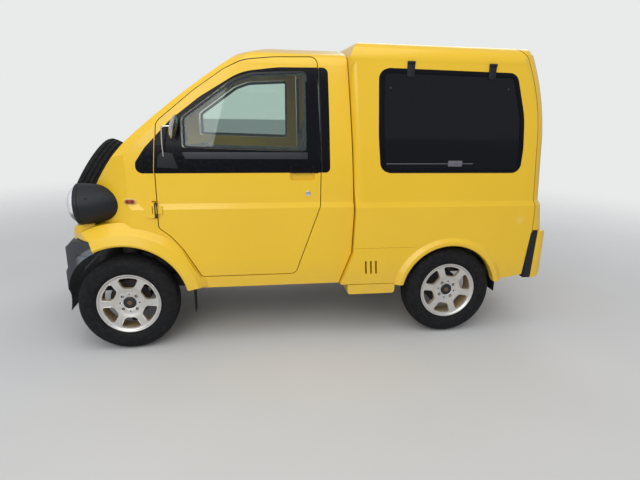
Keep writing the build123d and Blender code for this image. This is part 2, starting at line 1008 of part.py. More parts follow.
def rim_disc():
    """The dished face with its windows, lug holes and hub."""
    face_y = rim_width / 2 - disc_setback
    profile = outline(
        (spindle_radius + running_fit, face_y - 62),
        (hub_radius, face_y - 62),
        (hub_radius, face_y - disc_thickness),
        (barrel_radius - 1, face_y - disc_thickness),
        (barrel_radius - 1, face_y),
        (hub_radius + 14, face_y),
        (hub_radius + 4, face_y - 12),
        (spindle_radius + running_fit, face_y - 12),
    )
    disc = revolve(Plane.XY * profile, axis=Axis.Y)
    cutter = Plane.XZ * spoke_window()
    for index in range(spoke_count):
        turn = Rot(0, index * 360 / spoke_count, 0)
        disc -= turn * extrude(cutter, amount=100, both=True)
    for index in range(lug_count):
        turn = Rot(0, (index + 0.5) * 360 / lug_count, 0)
        disc -= turn * Pos(lug_circle / 2, 0, 0) * Rot(90, 0, 0) * Cylinder(lug_radius, 300)
    return disc


def rim():
    return rim_barrel() + rim_disc()


def wheel_place(x, side):
    """A wheel on an axle, its face outwards."""
    y = side * track / 2
    turn = Rot(0, 0, 0) if side > 0 else Rot(0, 0, 180)
    return Pos(x, y, tyre_radius) * turn


def spare_place():
    return Pos(front_axle_x + spare_ahead, 0, spare_height) * Rot(0, -spare_lean, 0) * Rot(0, 0, -90)


def spare_space(clearance):
    """The round hollow that the spare wheel lies in, open to the front."""
    back = tyre_width / 2 + clearance
    drum = Pos(0, 150 - back, 0) * Rot(90, 0, 0) * Cylinder(tyre_radius + clearance, 300)
    return spare_place() * drum


def spare_rim():
    """A plain pressed wheel with a domed cap."""
    face_y = rim_width / 2 - 25
    profile = outline(
        (0, face_y - 10),
        (70, face_y - 10),
        (barrel_radius - 1, face_y - 26),
        (barrel_radius - 1, face_y - 20),
        (75, face_y - 2),
        (62, face_y + 18),
        (25, face_y + 24),
        (0, face_y + 24),
    )
    return rim_barrel() + revolve(Plane.XY * profile, axis=Axis.Y)


def spare_carrier():
    """A stub from the nose panel that the spare wheel is bolted to."""
    face_y = rim_width / 2 - 35
    length = 260
    stub = Pos(0, face_y - seat_gap - length / 2, 0) * Rot(90, 0, 0) * Cylinder(45, length)
    plate = Pos(0, face_y - seat_gap - 4, 0) * Rot(90, 0, 0) * Cylinder(65, 8)
    return spare_place() * (stub + plate) - cab_form(-seat_gap)


# Steering and axles
def steer_point(z):
    """The y of the left steering axis at a height."""
    share = (z - steer_ball_z) / (strut_top_z - steer_ball_z)
    return steer_ball_y + share * (strut_top_y - steer_ball_y)


def knuckle():
    """The left knuckle: spindle, carrier, brake disc and the strut that turns with it."""
    x = front_axle_x
    z = tyre_radius
    hub_back = track / 2 + rim_width / 2 - disc_setback - 62
    spindle = disc_across(x, z, spindle_radius, hub_back - 30, hub_back + 48)
    flange = disc_across(x, z, 44, hub_back - 24, hub_back - 1)
    disc_y = hub_back - brake_disc_inset
    flange += disc_across(x, z, brake_disc_radius, disc_y - brake_disc_width, disc_y)
    carrier = steer_rod(steer_ball_z, z + 90, 24)
    web = block((x - 22, x + 22), (steer_point(z) - 10, hub_back - 20), (z - 40, z + 40))
    strut = steer_rod(z + 60, strut_top_z - 12, strut_radius)
    spring = steer_rod(470, strut_top_z - 12, 45)
    return spindle + flange + carrier + web + strut + spring


def steer_rod(low, high, radius):
    """A round bar on the left steering axis between two heights."""
    x = front_axle_x
    return rod((x, steer_point(low), low), (x, steer_point(high), high), radius)


def lower_arm():
    """The left lower arm: two legs from the chassis to a cup under the knuckle."""
    x = front_axle_x
    inner_y = rail_y + rail_width / 2
    cup_z = steer_ball_z - seat_gap
    ball_z = cup_z - 45
    ball = (x, steer_point(ball_z), ball_z)
    arm = steer_rod(ball_z - 12, cup_z, 16)
    for reach in (-110, 110):
        arm += rod(ball, (x + reach, inner_y - 10, rail_low_z - 22), 12)
    return arm - block((x - 300, x + 300), (0, inner_y + seat_gap), (0, 600))


def strut_mount():
    """The top mount between the left strut and its wheelhouse."""
    mount = steer_rod(strut_top_z - 12 + seat_gap, strut_top_z + 60, 40)
    return mount & wheelhouse(front_arch_radius - seat_gap, wheelhouse_inner + seat_gap)


def rail_face():
    """One chassis rail in side view, kicked up over the rear axle."""
    h = rail_height / 2
    low = rail_low_z
    high = rail_high_z
    return outline(
        front(170, low - h), front(170, low + h),
        rear(560, low + h), rear(330, high + h), rear(-470, high + h),
        rear(-470, high - h), rear(350, high - h), rear(580, low - h),
    )


def chassis():
    rail = between(rail_face(), rail_y - rail_width / 2, rail_y + rail_width / 2)
    frame = rail + mirrored(rail)
    inner = rail_y - rail_width / 2 + 5
    middle_z = (rail_low_z + rail_high_z) / 2
    members = [
        (front_axle_x + 120, rail_low_z), (front_axle_x - 330, rail_low_z),
        (rear_axle_x + 455, middle_z), (rear_axle_x + 200, rail_high_z), (rear_axle_x - 440, rail_high_z),
    ]
    for x, z in members:
        frame += block((x - 25, x + 25), (-inner, inner), (z - 28, z + 28))
    eye = tow_eye()
    return frame + eye + mirrored(eye)


def tow_eye():
    """A flat lug with an upright hole, under the front end of each rail."""
    x = front_axle_x + tow_eye_ahead
    z = rail_low_z - rail_height / 2 - tow_eye_thickness
    top = z + tow_eye_thickness
    lug = upright(x, rail_y, 28, z, top)
    lug += block((front_axle_x + 90, x), (rail_y - 28, rail_y + 28), (z, top))
    return lug - upright(x, rail_y, tow_eye_bore, z - 5, top + 5)


def front_suspension():
    """Both lower arms and both strut mounts."""
    return Compound(children=[*both_sides(lower_arm()).solids(), *both_sides(strut_mount()).solids()])


def rear_axle():
    """The live axle with its differential case, propeller shaft and leaf springs."""
    x = rear_axle_x
    hub_back = track / 2 + rim_width / 2 - disc_setback - 62
    axle = disc_across(x, tyre_radius, 32, -hub_back + 20, hub_back - 20)
    axle += disc_across(x, tyre_radius, spindle_radius, -hub_back - 48, hub_back + 48)
    for side in (-1, 1):
        inner = side * (hub_back - 1 - brake_drum_width)
        axle += disc_across(x, tyre_radius, brake_drum_radius, inner, side * (hub_back - 1))
    axle += Pos(x, 0, tyre_radius) * Rot(0, 90, 0) * Cylinder(98, 130)
    axle += Pos(x, 0, tyre_radius) * Rot(0, 90, 0) * Cylinder(50, 230)
    axle += rod((x + 98, 0, tyre_radius), (x + 757.5, 0, 300), 30)
    spring_face = outline(
        rear(spring_reach, 402), (rear(0, 322), rear(-spring_reach, 402)), rear(-spring_reach, 418),
        (rear(0, 338), rear(spring_reach, 418)),
    )
    leaf = between(spring_face, rail_y - 30, rail_y + 30)
    rail_bottom = rail_high_z - rail_height / 2 - seat_gap
    shackles = block((x + spring_reach - 24, x + spring_reach), (rail_y - 20, rail_y + 20), (402, rail_bottom))
    shackles += block((x - spring_reach, x - spring_reach + 24), (rail_y - 20, rail_y + 20), (402, rail_bottom))
    pad = block((x - 45, x + 45), (rail_y - 30, rail_y + 30), (tyre_radius, 330))
    half = leaf + pad + shackles
    return axle + half + mirrored(half)


def engine():
    """Engine and gearbox as one plain block between the rails."""
    x = rear_axle_x
    lump = block((x + 760, x + 1130), (-190, 190), (230, 590))
    lump += block((x + 1130, x + 1470), (-95, 95), (215, 330))
    arm_y = rail_y - rail_width / 2 - seat_gap
    return lump + block((x + 900, x + 960), (-arm_y, arm_y), (262, 318))


# Cabin
def dashboard():
    face = outline(
        rear(1560, 640), rear(1600, 700), rear(1560, 930), (rear(1530, 985), rear(1590, 1000)),
        rear(1790, 1010), rear(1790, 900), rear(1690, 640),
    )
    return between(face, -530, 530) & cab_form(cab_wall + 1)


def steering_wheel():
    """Rim, two-bar centre and column of the right-hand driver's wheel."""
    centre = Vector(rear_axle_x + 1330, -270, 955)
    plane = Plane(origin=centre, x_dir=(0, 1, 0), z_dir=(-0.62, 0, 0.78))
    hoop = revolve(Plane.XZ * Pos(180, 0) * RegularPolygon(14, 6), axis=Axis.Z)
    wheel = hoop + Cylinder(42, 40) + Box(350, 34, 16)
    column = Pos(0, 0, -200) * Cylinder(22, 400)
    return plane.location * (wheel + column) - dashboard()


def seat_cushion(y):
    base = 640 + seat_gap
    face = rounded(
        [rear(1165, base), rear(1180, 760), rear(690, 728), rear(690, base)],
        [20, 45, 20, 20],
    )
    return between(face, y - 215, y + 215)


def seat_back(y):
    """The leaning backrest, standing on the rear of its cushion."""
    face = outline(
        rear(700, 729 + seat_gap), rear(862, 739.6 + seat_gap), rear(770, 1225),
        (rear(758, 1252), rear(732, 1262)), rear(690, 1258), (rear(672, 1250), rear(668, 1225)),
    )
    return between(face, y - 205, y + 205)


def seats():
    """Two cushions and two backrests."""
    pads = [seat_cushion(270), seat_back(270), seat_cushion(-270), seat_back(-270)]
    return Compound(children=[solid for pad in pads for solid in pad.solids()])


def door_mirror():
    """A teardrop mirror head on a bent rod that stands on the door's front corner."""
    x = rear_axle_x
    base = (x + 1597, 590, 1062)
    top = (x + 1592, 690, 1216)
    head = (x + 1540, 704, 1222)
    arm = rod(base, top, 7) + rod(top, head, 7)
    face = outline((x + 1526, 1150), ((x + 1574, 1196), (x + 1526, 1282)))
    shell = between(face, 664, 744)
    return (arm + shell) - cab_form(-seat_gap)


def mudflaps():
    """The flaps behind the wheels."""
    x = front_axle_x - front_arch_radius - 20
    fore = block((x - 6, x), (500, cab_half_width - 26), (190, sill_height - seat_gap))
    xr = rear_axle_x - rear_arch_radius - 22
    skirt_y = box_half_width - skirt_taper - box_wall - seat_gap
    aft = block((xr - 6, xr), (490, skirt_y), (248, 400))
    return Compound(children=[*both_sides(fore).solids(), *both_sides(aft).solids()])


def exhaust():
    x = rear_axle_x
    pipe = rod((x + 760 - seat_gap, 130, 255), (x + 230, 130, 255), 20)
    pipe += rod((x + 600, 130, 255), (x + 280, 130, 255), 55)
    return pipe


def save(name, shape):
    """Write one node's solids to its own file."""
    solids = shape.solids()
    keep = solids[0] if len(solids) == 1 else Compound(children=list(solids))
    export_step(keep, f"parts/{name}.step")


def build():
    os.makedirs("parts", exist_ok=True)
    pod = headlamp_pod()
    nodes = {
        "cab_shell": cab_shell(),
        "windscreen": windscreen(),
        "pillar_bands": both_sides(pillar_bands()),
        "front_wings": both_sides(wing()),
        "front_bumper": front_bumper(),
        "headlamp_pods": both_sides(pod),
        "headlamp_lenses": both_sides(headlamp_lens()),
        "side_markers": both_sides(side_marker()),
        "cargo_box": cargo_box(),
        "box_windows": both_sides(box_window()),
        "window_fittings": window_fittings(),
        "tailgate": tailgate(),
        "tailgate_glass": tailgate_glass(),
        "rear_bumper": rear_bumper(),
        "rear_bumper_ends": rear_bumper_ends(),
        "tail_lamps": tail_lamps(),
        "chassis_frame": chassis(),
        "engine_block": engine(),
        "rear_axle": rear_axle(),
        "front_suspension": front_suspension(),
        "exhaust": exhaust(),
        "mudflaps": mudflaps(),
        "dashboard": dashboard(),
        "steering_wheel": steering_wheel(),
        "seats": seats(),
        "spare_tyre": spare_place() * tyre(),
        "spare_rim": Compound(children=[spare_place() * spare_rim(), spare_carrier()]),
    }
    for side, turn in (("left", lambda piece: piece), ("right", mirrored)):
        nodes[f"door_{side}"] = turn(door())
        nodes[f"door_glass_{side}"] = turn(door_glass())
        nodes[f"door_band_{side}"] = turn(door_band())
        nodes[f"mirror_{side}"] = turn(door_mirror())
        nodes[f"knuckle_{side}"] = turn(knuckle())
    for end, x in (("front", front_axle_x), ("rear", rear_axle_x)):
        for side, sign in (("left", 1), ("right", -1)):
            nodes[f"{end}_{side}_tyre"] = wheel_place(x, sign) * tyre()
            turn = Rot(0, rear_wheel_turn, 0) if end == "rear" else Rot(0, 0, 0)
            nodes[f"{end}_{side}_rim"] = wheel_place(x, sign) * turn * rim()
    for name, shape in nodes.items():
        save(name, shape)


if __name__ == "__main__":
    build()
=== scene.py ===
import math

import bmesh
import bpy
from mathutils import Matrix, Vector
from mathutils.bvhtree import BVHTree


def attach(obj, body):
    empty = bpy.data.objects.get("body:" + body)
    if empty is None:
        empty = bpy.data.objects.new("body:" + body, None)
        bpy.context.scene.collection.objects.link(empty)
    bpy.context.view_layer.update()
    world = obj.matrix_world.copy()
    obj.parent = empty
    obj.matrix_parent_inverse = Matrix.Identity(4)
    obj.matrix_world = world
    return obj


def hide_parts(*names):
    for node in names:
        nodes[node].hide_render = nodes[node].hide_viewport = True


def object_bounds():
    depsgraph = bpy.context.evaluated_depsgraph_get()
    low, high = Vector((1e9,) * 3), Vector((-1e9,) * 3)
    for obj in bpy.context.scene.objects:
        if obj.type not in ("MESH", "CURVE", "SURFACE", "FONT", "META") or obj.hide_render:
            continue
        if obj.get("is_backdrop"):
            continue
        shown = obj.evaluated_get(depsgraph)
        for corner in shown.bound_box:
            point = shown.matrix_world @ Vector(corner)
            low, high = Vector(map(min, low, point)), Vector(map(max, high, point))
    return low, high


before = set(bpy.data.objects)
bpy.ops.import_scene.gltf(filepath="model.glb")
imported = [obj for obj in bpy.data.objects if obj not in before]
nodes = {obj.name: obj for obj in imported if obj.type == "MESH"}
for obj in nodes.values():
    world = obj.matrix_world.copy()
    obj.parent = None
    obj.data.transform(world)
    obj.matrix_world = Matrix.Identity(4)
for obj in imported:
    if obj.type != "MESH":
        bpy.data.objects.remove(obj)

cad_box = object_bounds()


# Painted panels: the cab, doors, wings, cargo box, tailgate and rear bumper.
# Two-coat yellow enamel on pressed steel and moulded panels, sprayed, with a little road dust low down.
# It gives the eye a clear gloss over a warm yellow, faint orange peel and a duller film near the sills.
def linear(code):
    """The linear colour of an sRGB hex code."""
    parts = [int(code[i : i + 2], 16) / 255 for i in (1, 3, 5)]
    return (*[c / 12.92 if c <= 0.04045 else ((c + 0.055) / 1.055) ** 2.4 for c in parts], 1.0)


def finish(name):
    """An empty node material, named for what the real surface is."""
    made = bpy.data.materials.new(name)
    made.use_nodes = True
    made.node_tree.nodes.clear()
    return made


def add(made, kind, sockets, **settings):
    """Adds a node. Each socket takes a value, or a link written as (node, output)."""
    fresh = made.node_tree.nodes.new(kind)
    for name, value in settings.items():
        setattr(fresh, name, value)
    for name, value in sockets.items():
        if isinstance(value, tuple) and isinstance(value[0], bpy.types.Node):
            made.node_tree.links.new(value[0].outputs[value[1]], fresh.inputs[name])
        else:
            fresh.inputs[name].default_value = value
    return fresh


def blend(made, share, ground, over):
    """Mixes two colours, each an sRGB hex code or a link."""
    ground, over = [linear(shade) if isinstance(shade, str) else shade for shade in (ground, over)]
    return add(made, "ShaderNodeMix", {0: share, 6: ground, 7: over}, data_type="RGBA")


def maths(made, operation, *values):
    """Works out a number from values or links."""
    return add(made, "ShaderNodeMath", dict(enumerate(values)), operation=operation)


def surface(made, sockets):
    """Gives a material its shader and its output."""
    skin = add(made, "ShaderNodeBsdfPrincipled", sockets)
    add(made, "ShaderNodeOutputMaterial", {"Surface": (skin, "BSDF")})


def wear(piece, material):
    """Puts one finish on a piece or a CAD node."""
    piece.data.materials.clear()
    piece.data.materials.append(material)


wheelbase = 1.84
rear_x = -0.8295
front_x = rear_x + wheelbase
hub_height = 0.268

enamel = finish("yellow_enamel")
place = add(enamel, "ShaderNodeTexCoord", {})
height = add(enamel, "ShaderNodeSeparateXYZ", {"Vector": (place, "Object")})
drift = add(enamel, "ShaderNodeTexNoise", {"Vector": (place, "Object"), "Scale": 2.2, "Detail": 3.0})
cloud = add(enamel, "ShaderNodeTexNoise", {"Vector": (place, "Object"), "Scale": 14.0, "Detail": 6.0})
low = add(enamel, "ShaderNodeMapRange", {"Value": (height, "Z"), 1: 0.50, 2: 0.28, 3: 0.0, 4: 1.0})
film = maths(enamel, "MULTIPLY", (low, "Result"), (cloud, "Fac"))
thin = maths(enamel, "MULTIPLY", (film, "Value"), 0.4)
warm = blend(enamel, (drift, "Fac"), "#EFC42A", "#E7BA20")
dusted = blend(enamel, (thin, "Value"), (warm, 2), "#B59C62")
inward = maths(enamel, "ABSOLUTE", (height, "Y"))
inside = maths(enamel, "LESS_THAN", (inward, "Value"), 0.596)
# The insides of the wheel arches, near each axle and inside the body side, are painted near-black.
for axle, reach in ((front_x, 0.352), (rear_x, 0.306)):
    away = add(
        enamel, "ShaderNodeVectorMath", {0: (place, "Object"), 1: (axle, 0.0, hub_height)},
        operation="SUBTRACT",
    )
    flat = add(
        enamel, "ShaderNodeVectorMath", {0: (away, "Vector"), 1: (1.0, 0.0, 1.0)}, operation="MULTIPLY"
    )
    span = add(enamel, "ShaderNodeVectorMath", {0: (flat, "Vector")}, operation="LENGTH")
    near = maths(enamel, "LESS_THAN", (span, "Value"), reach)
    arch_darkened = maths(enamel, "MULTIPLY", (near, "Value"), (inside, "Value"))
    dusted = blend(enamel, (arch_darkened, "Value"), (dusted, 2), "#1D1C1B")
fore = maths(enamel, "COMPARE", (height, "X"), rear_x + 0.88, 0.078)
tall = maths(enamel, "COMPARE", (height, "Z"), 1.0, 0.0225)
sunk = maths(enamel, "MULTIPLY", (fore, "Value"), (tall, "Value"))
dusted = blend(enamel, (sunk, "Value"), (dusted, 2), "#0A0B10")
band_foot = 0.983
for foot, slant, top in ((0.776, 0.0412, 1.521), (1.651, -0.0792, 1.150)):
    drawn = maths(enamel, "MULTIPLY_ADD", (height, "Z"), -slant, (height, "X"))
    shut = maths(enamel, "COMPARE", (drawn, "Value"), rear_x + foot - slant, 0.0105)
    tall = maths(enamel, "COMPARE", (height, "Z"), (band_foot + top) / 2, (top - band_foot) / 2)
    edge = maths(enamel, "MULTIPLY", (shut, "Value"), (tall, "Value"))
    dusted = blend(enamel, (edge, "Value"), (dusted, 2), "#0A0B10")
rubbed = add(
    enamel, "ShaderNodeVectorMath", {0: (place, "Object"), 1: (rear_x - 0.3985, 0.632, 0.704)},
    operation="DISTANCE",
)
scrape = add(
    enamel, "ShaderNodeMapRange", {"Value": (rubbed, "Value"), 1: 0.012, 2: 0.034, 3: 0.45, 4: 0.0}
)
scraped = maths(enamel, "MULTIPLY", (scrape, "Result"), (cloud, "Fac"))
dusted = blend(enamel, (scraped, "Value"), (dusted, 2), "#F6DC98")
dull = add(enamel, "ShaderNodeMapRange", {"Value": (thin, "Value"), 1: 0.0, 2: 0.4, 3: 0.28, 4: 0.6})
peel = add(enamel, "ShaderNodeTexNoise", {"Vector": (place, "Object"), "Scale": 380.0, "Detail": 1.0})
peel_bump = add(enamel, "ShaderNodeBump", {"Height": (peel, "Fac"), "Strength": 0.05, "Distance": 0.0004})
surface(
    enamel,
    {
        "Base Color": (dusted, 2), "Roughness": (dull, "Result"), "Normal": (peel_bump, "Normal"),
        "Coat Weight": 0.35, "Coat Roughness": 0.1, "IOR": 1.45,
    },
)
for name in ("cab_shell", "cargo_box", "front_wings", "door_left", "door_right", "tailgate", "rear_bumper"):
    wear(nodes[name], enamel)


# Black moulded pieces: rear bumper ends, lamp housings, strap hinges and dashboard.
# Grained ABS and polypropylene, injection moulded. It gives the eye a soft dark grey sheen over a fine grain.
moulded = finish("grained_abs")
place = add(moulded, "ShaderNodeTexCoord", {})
grain = add(moulded, "ShaderNodeTexVoronoi", {"Vector": (place, "Object"), "Scale": 700.0})
cast = add(moulded, "ShaderNodeTexNoise", {"Vector": (place, "Object"), "Scale": 9.0, "Detail": 5.0})
tone = blend(moulded, (cast, "Fac"), "#15161A", "#1F2126")
matt = add(moulded, "ShaderNodeMapRange", {"Value": (cast, "Fac"), 1: 0.3, 2: 0.7, 3: 0.42, 4: 0.58})
grain_bump = add(
    moulded, "ShaderNodeBump", {"Height": (grain, "Distance"), "Strength": 0.2, "Distance": 0.0006}
)
surface(
    moulded,
    {
        "Base Color": (tone, 2), "Roughness": (matt, "Result"), "Normal": (grain_bump, "Normal"),
        "Specular IOR Level": 0.3,
    },
)
for name in ("rear_bumper_ends", "headlamp_pods", "window_fittings", "dashboard", "steering_wheel"):
    wear(nodes[name], moulded)


# Front bumper.
# Polypropylene, moulded in black and greyed by the sun. The strip that follows the wheel arch is painted
# paler grey, partly as a lighter grey edge and partly as a painted highlight along it.
# It gives the eye a dry charcoal with a soft broad shine, and a light grey edge round the wheel.
bleached = finish("sunned_polypropylene")
place = add(bleached, "ShaderNodeTexCoord", {})
spot = add(bleached, "ShaderNodeSeparateXYZ", {"Vector": (place, "Object")})
flat = add(bleached, "ShaderNodeCombineXYZ", {"X": (spot, "X"), "Y": (spot, "Z")})
reach = add(
    bleached, "ShaderNodeVectorMath", {0: (flat, "Vector"), 1: (front_x, hub_height, 0.0)},
    operation="DISTANCE",
)
# Painted highlight: the bumper's outer face inside the arch's edge is mixed towards a pale grey.
strip = add(
    bleached, "ShaderNodeMapRange", {"Value": (reach, "Value"), 1: 0.364, 2: 0.361, 3: 0.0, 4: 0.85}
)
outer = maths(bleached, "ABSOLUTE", (spot, "Y"))
flank = add(bleached, "ShaderNodeMapRange", {"Value": (outer, "Value"), 1: 0.585, 2: 0.60})
strip = maths(bleached, "MULTIPLY", (strip, "Result"), (flank, "Result"))
cast = add(bleached, "ShaderNodeTexNoise", {"Vector": (place, "Object"), "Scale": 7.0, "Detail": 6.0})
tone = blend(bleached, (cast, "Fac"), "#2A2C30", "#3D4045")
paler_and_highlit = blend(bleached, (strip, "Value"), (tone, 2), "#6D7278")
grain = add(bleached, "ShaderNodeTexVoronoi", {"Vector": (place, "Object"), "Scale": 700.0})
grain_bump = add(
    bleached, "ShaderNodeBump", {"Height": (grain, "Distance"), "Strength": 0.2, "Distance": 0.0006}
)
surface(
    bleached,
    {
        "Base Color": (paler_and_highlit, 2), "Roughness": 0.55, "Normal": (grain_bump, "Normal"), "IOR": 1.5,
    },
)
wear(nodes["front_bumper"], bleached)


# The black surround of the side windows.
# Gloss black film on the painted panel. It gives the eye a deep mirror-like black with fine dust.
film_black = finish("gloss_black_film")
place = add(film_black, "ShaderNodeTexCoord", {})
specks = add(film_black, "ShaderNodeTexNoise", {"Vector": (place, "Object"), "Scale": 60.0, "Detail": 8.0})
haze = add(film_black, "ShaderNodeMapRange", {"Value": (specks, "Fac"), 1: 0.35, 2: 0.75, 3: 0.10, 4: 0.30})
tone = blend(film_black, (specks, "Fac"), "#05060A", "#0A0B12")
surface(
    film_black,
    {
        "Base Color": (tone, 2), "Roughness": (haze, "Result"), "Specular IOR Level": 0.15,
        "Coat Weight": 0.04,
    },
)
for name in ("pillar_bands", "door_band_left", "door_band_right"):
    wear(nodes[name], film_black)


# Clear glass of the windscreen and the doors.
# Float glass 5 mm thick, faintly green. It gives the eye a clear view with a soft sky reflection.
clear = finish("float_glass")
place = add(clear, "ShaderNodeTexCoord", {})
smear = add(clear, "ShaderNodeTexNoise", {"Vector": (place, "Object"), "Scale": 7.0, "Detail": 6.0})
streak = add(clear, "ShaderNodeMapRange", {"Value": (smear, "Fac"), 1: 0.4, 2: 0.8, 3: 0.0, 4: 0.05})
surface(
    clear,
    {
        "Base Color": linear("#D6E6DF"), "Roughness": (streak, "Result"), "Transmission Weight": 1.0,
        "IOR": 1.45,
    },
)
for name in ("windscreen", "door_glass_left", "door_glass_right"):
    wear(nodes[name], clear)


# Dark glass of the cargo box.
# Glass with a dark privacy film inside. It gives the eye a near-black pane that still shows light shapes.
tinted = finish("privacy_glass")
place = add(tinted, "ShaderNodeTexCoord", {})
smear = add(tinted, "ShaderNodeTexNoise", {"Vector": (place, "Object"), "Scale": 5.0, "Detail": 6.0})
streak = add(tinted, "ShaderNodeMapRange", {"Value": (smear, "Fac"), 1: 0.4, 2: 0.8, 3: 0.02, 4: 0.09})
surface(
    tinted,
    {
        "Base Color": linear("#161A22"), "Roughness": (streak, "Result"), "Transmission Weight": 0.7,
        "IOR": 1.4, "Specular IOR Level": 0.22,
    },
)
for name in ("box_windows", "tailgate_glass"):
    wear(nodes[name], tinted)


# Chassis, axle, arms and carrier under the body.
# Welded steel in black chassis paint, brushed on, with dried mud. It gives the eye a dull dark grey-brown.
underseal = finish("chassis_black")
place = add(underseal, "ShaderNodeTexCoord", {})
mud = add(underseal, "ShaderNodeTexNoise", {"Vector": (place, "Object"), "Scale": 18.0, "Detail": 8.0})
spread = add(underseal, "ShaderNodeMapRange", {"Value": (mud, "Fac"), 1: 0.5, 2: 0.75, 3: 0.0, 4: 0.8})
tone = blend(underseal, (spread, "Result"), "#1E1E1F", "#5A5146")
crust = add(underseal, "ShaderNodeBump", {"Height": (mud, "Fac"), "Strength": 0.4, "Distance": 0.002})
surface(underseal, {"Base Color": (tone, 2), "Roughness": 0.75, "Normal": (crust, "Normal")})
for name in ("chassis_frame", "rear_axle", "front_suspension"):
    wear(nodes[name], underseal)


# Engine, knuckles and exhaust.
# Cast iron and drawn steel, sand cast or bent, with a brown bloom of rust.
iron = finish("cast_iron")
place = add(iron, "ShaderNodeTexCoord", {})
rust = add(iron, "ShaderNodeTexNoise", {"Vector": (place, "Object"), "Scale": 30.0, "Detail": 9.0})
bloom = add(iron, "ShaderNodeMapRange", {"Value": (rust, "Fac"), 1: 0.45, 2: 0.7, 3: 0.0, 4: 1.0})
tone = blend(iron, (bloom, "Result"), "#4A4845", "#5C3F2C")
rough = add(iron, "ShaderNodeBump", {"Height": (rust, "Fac"), "Strength": 0.35, "Distance": 0.001})
surface(iron, {"Base Color": (tone, 2), "Metallic": 0.4, "Roughness": 0.62, "Normal": (rough, "Normal")})
for name in ("engine_block", "knuckle_left", "knuckle_right", "exhaust"):
    wear(nodes[name], iron)


# Five 145 R12 tyres.
# Vulcanised black rubber, moulded with four grooves and a cut shoulder, greyed by road dust.
# They give the eye a dry, matt dark grey with browner dust in patches.
rubber = finish("tyre_rubber")
place = add(rubber, "ShaderNodeTexCoord", {})
scuff = add(rubber, "ShaderNodeTexNoise", {"Vector": (place, "Object"), "Scale": 45.0, "Detail": 8.0})
dust = add(rubber, "ShaderNodeMapRange", {"Value": (scuff, "Fac"), 1: 0.42, 2: 0.78, 3: 0.0, 4: 0.55})
tone = blend(rubber, (dust, "Result"), "#0F1013", "#2A2927")
fine = add(rubber, "ShaderNodeBump", {"Height": (scuff, "Fac"), "Strength": 0.15, "Distance": 0.001})
surface(
    rubber,
    {
        "Base Color": (tone, 2), "Roughness": 0.78, "Normal": (fine, "Normal"), "Specular IOR Level": 0.25,
    },
)
wear(nodes["mudflaps"], rubber)


def turned(name, profile, steps):
    """Spins a closed outline of (radius, along) points in mm once round the y axis."""
    bpy.ops.object.select_all(action="DESELECT")
    bpy.ops.mesh.primitive_circle_add(vertices=len(profile), radius=0.1)
    piece = bpy.context.object
    piece.name = name
    for corner, (radius, along) in zip(piece.data.vertices, profile):
        corner.co = (radius / 1000, along / 1000, 0.0)
    bpy.ops.object.mode_set(mode="EDIT")
    bpy.ops.mesh.select_all(action="SELECT")
    bpy.ops.mesh.spin(steps=steps, angle=math.radians(360), center=(0, 0, 0), axis=(0, 1, 0))
    bpy.ops.mesh.select_all(action="SELECT")
    bpy.ops.mesh.remove_doubles(threshold=0.00001)
    bpy.ops.mesh.dissolve_degenerate(threshold=0.00001)
    bpy.ops.mesh.normals_make_consistent(inside=False)
    bpy.ops.object.mode_set(mode="OBJECT")
    return piece


def pick(piece):
    """Makes a piece the only selected one, and the active one."""
    bpy.ops.object.select_all(action="DESELECT")
    piece.select_set(True)
    bpy.context.view_layer.objects.active = piece


def smooth(piece, angle):
    """Shades a piece smooth up to an edge angle in degrees."""
    pick(piece)
    bpy.ops.object.shade_smooth_by_angle(angle=math.radians(angle))


def pick_faces(piece, test):
    """In edit mode, selects only the faces whose centre passes the test."""
    form = bmesh.from_edit_mesh(piece.data)
    for face in form.faces:
        face.select_set(test(face.calc_center_median()))
    form.select_flush_mode()
    bmesh.update_edit_mesh(piece.data)


def copy_to(piece, name, matrix):
    """A copy of a piece, with its own mesh, moved to its place."""
    twin = bpy.data.objects.new(name, piece.data.copy())
    bpy.context.scene.collection.objects.link(twin)
    twin.data.transform(matrix)
    twin.data.update()
    return twin


wall = [
    (157.4, 44), (166, 49), (171, 53.5), (174, 59), (179, 63.5), (187, 68), (189, 69.6), (192, 70.4),
    (199, 72.4),
    (208, 73.4), (218, 73.4), (228, 72.2), (237, 69.4), (239, 68), (241.5, 68), (245, 66.2), (249, 63.2),
    (253, 59.6), (256.4, 56),
]


def crown_radius(along):
    """The tread's radius in mm at a distance from its middle."""
    return 267.9 - 8.6 * (abs(along) / 54) ** 2.4


columns = 280
pitch = 5
crown = [(crown_radius(51), 51), (crown_radius(45), 45)]
for groove in (36, 12.5, -12.5, -36):
    for along, deep in ((4, 0), (3, 6.6), (-3, 6.6), (-4, 0)):
        crown.append((crown_radius(groove + along) - deep, groove + along))
    if groove > -36:
        crown.append((crown_radius(groove - 11.7), groove - 11.7))
crown += [(crown_radius(45), -45), (crown_radius(51), -51)]
tyre = turned("tyre", wall + crown + [(radius, -along) for radius, along in reversed(wall)], columns)
bpy.ops.object.mode_set(mode="EDIT")


def in_cut(centre):
    """True on the tread faces that a cross cut takes away."""
    column = int(math.degrees(math.atan2(centre.z, centre.x)) % 360 / 360 * columns)
    radius = math.hypot(centre.x, centre.z)
    top = crown_radius(centre.y * 1000) / 1000 - 0.0012
    shoulder = 0.0405 < abs(centre.y) < 0.053 and radius > top
    rib = 0.017 < abs(centre.y) < 0.0315 and radius > top
    lag = 2 if centre.y > 0 else 0
    return (shoulder and (column + lag) % pitch == 0) or (rib and (column + lag) % (2 * pitch) == pitch)


pick_faces(tyre, in_cut)
bpy.ops.mesh.extrude_region_shrink_fatten(TRANSFORM_OT_shrink_fatten={"value": -0.0045})
bpy.ops.object.mode_set(mode="OBJECT")
smooth(tyre, 40)
wear(tyre, rubber)

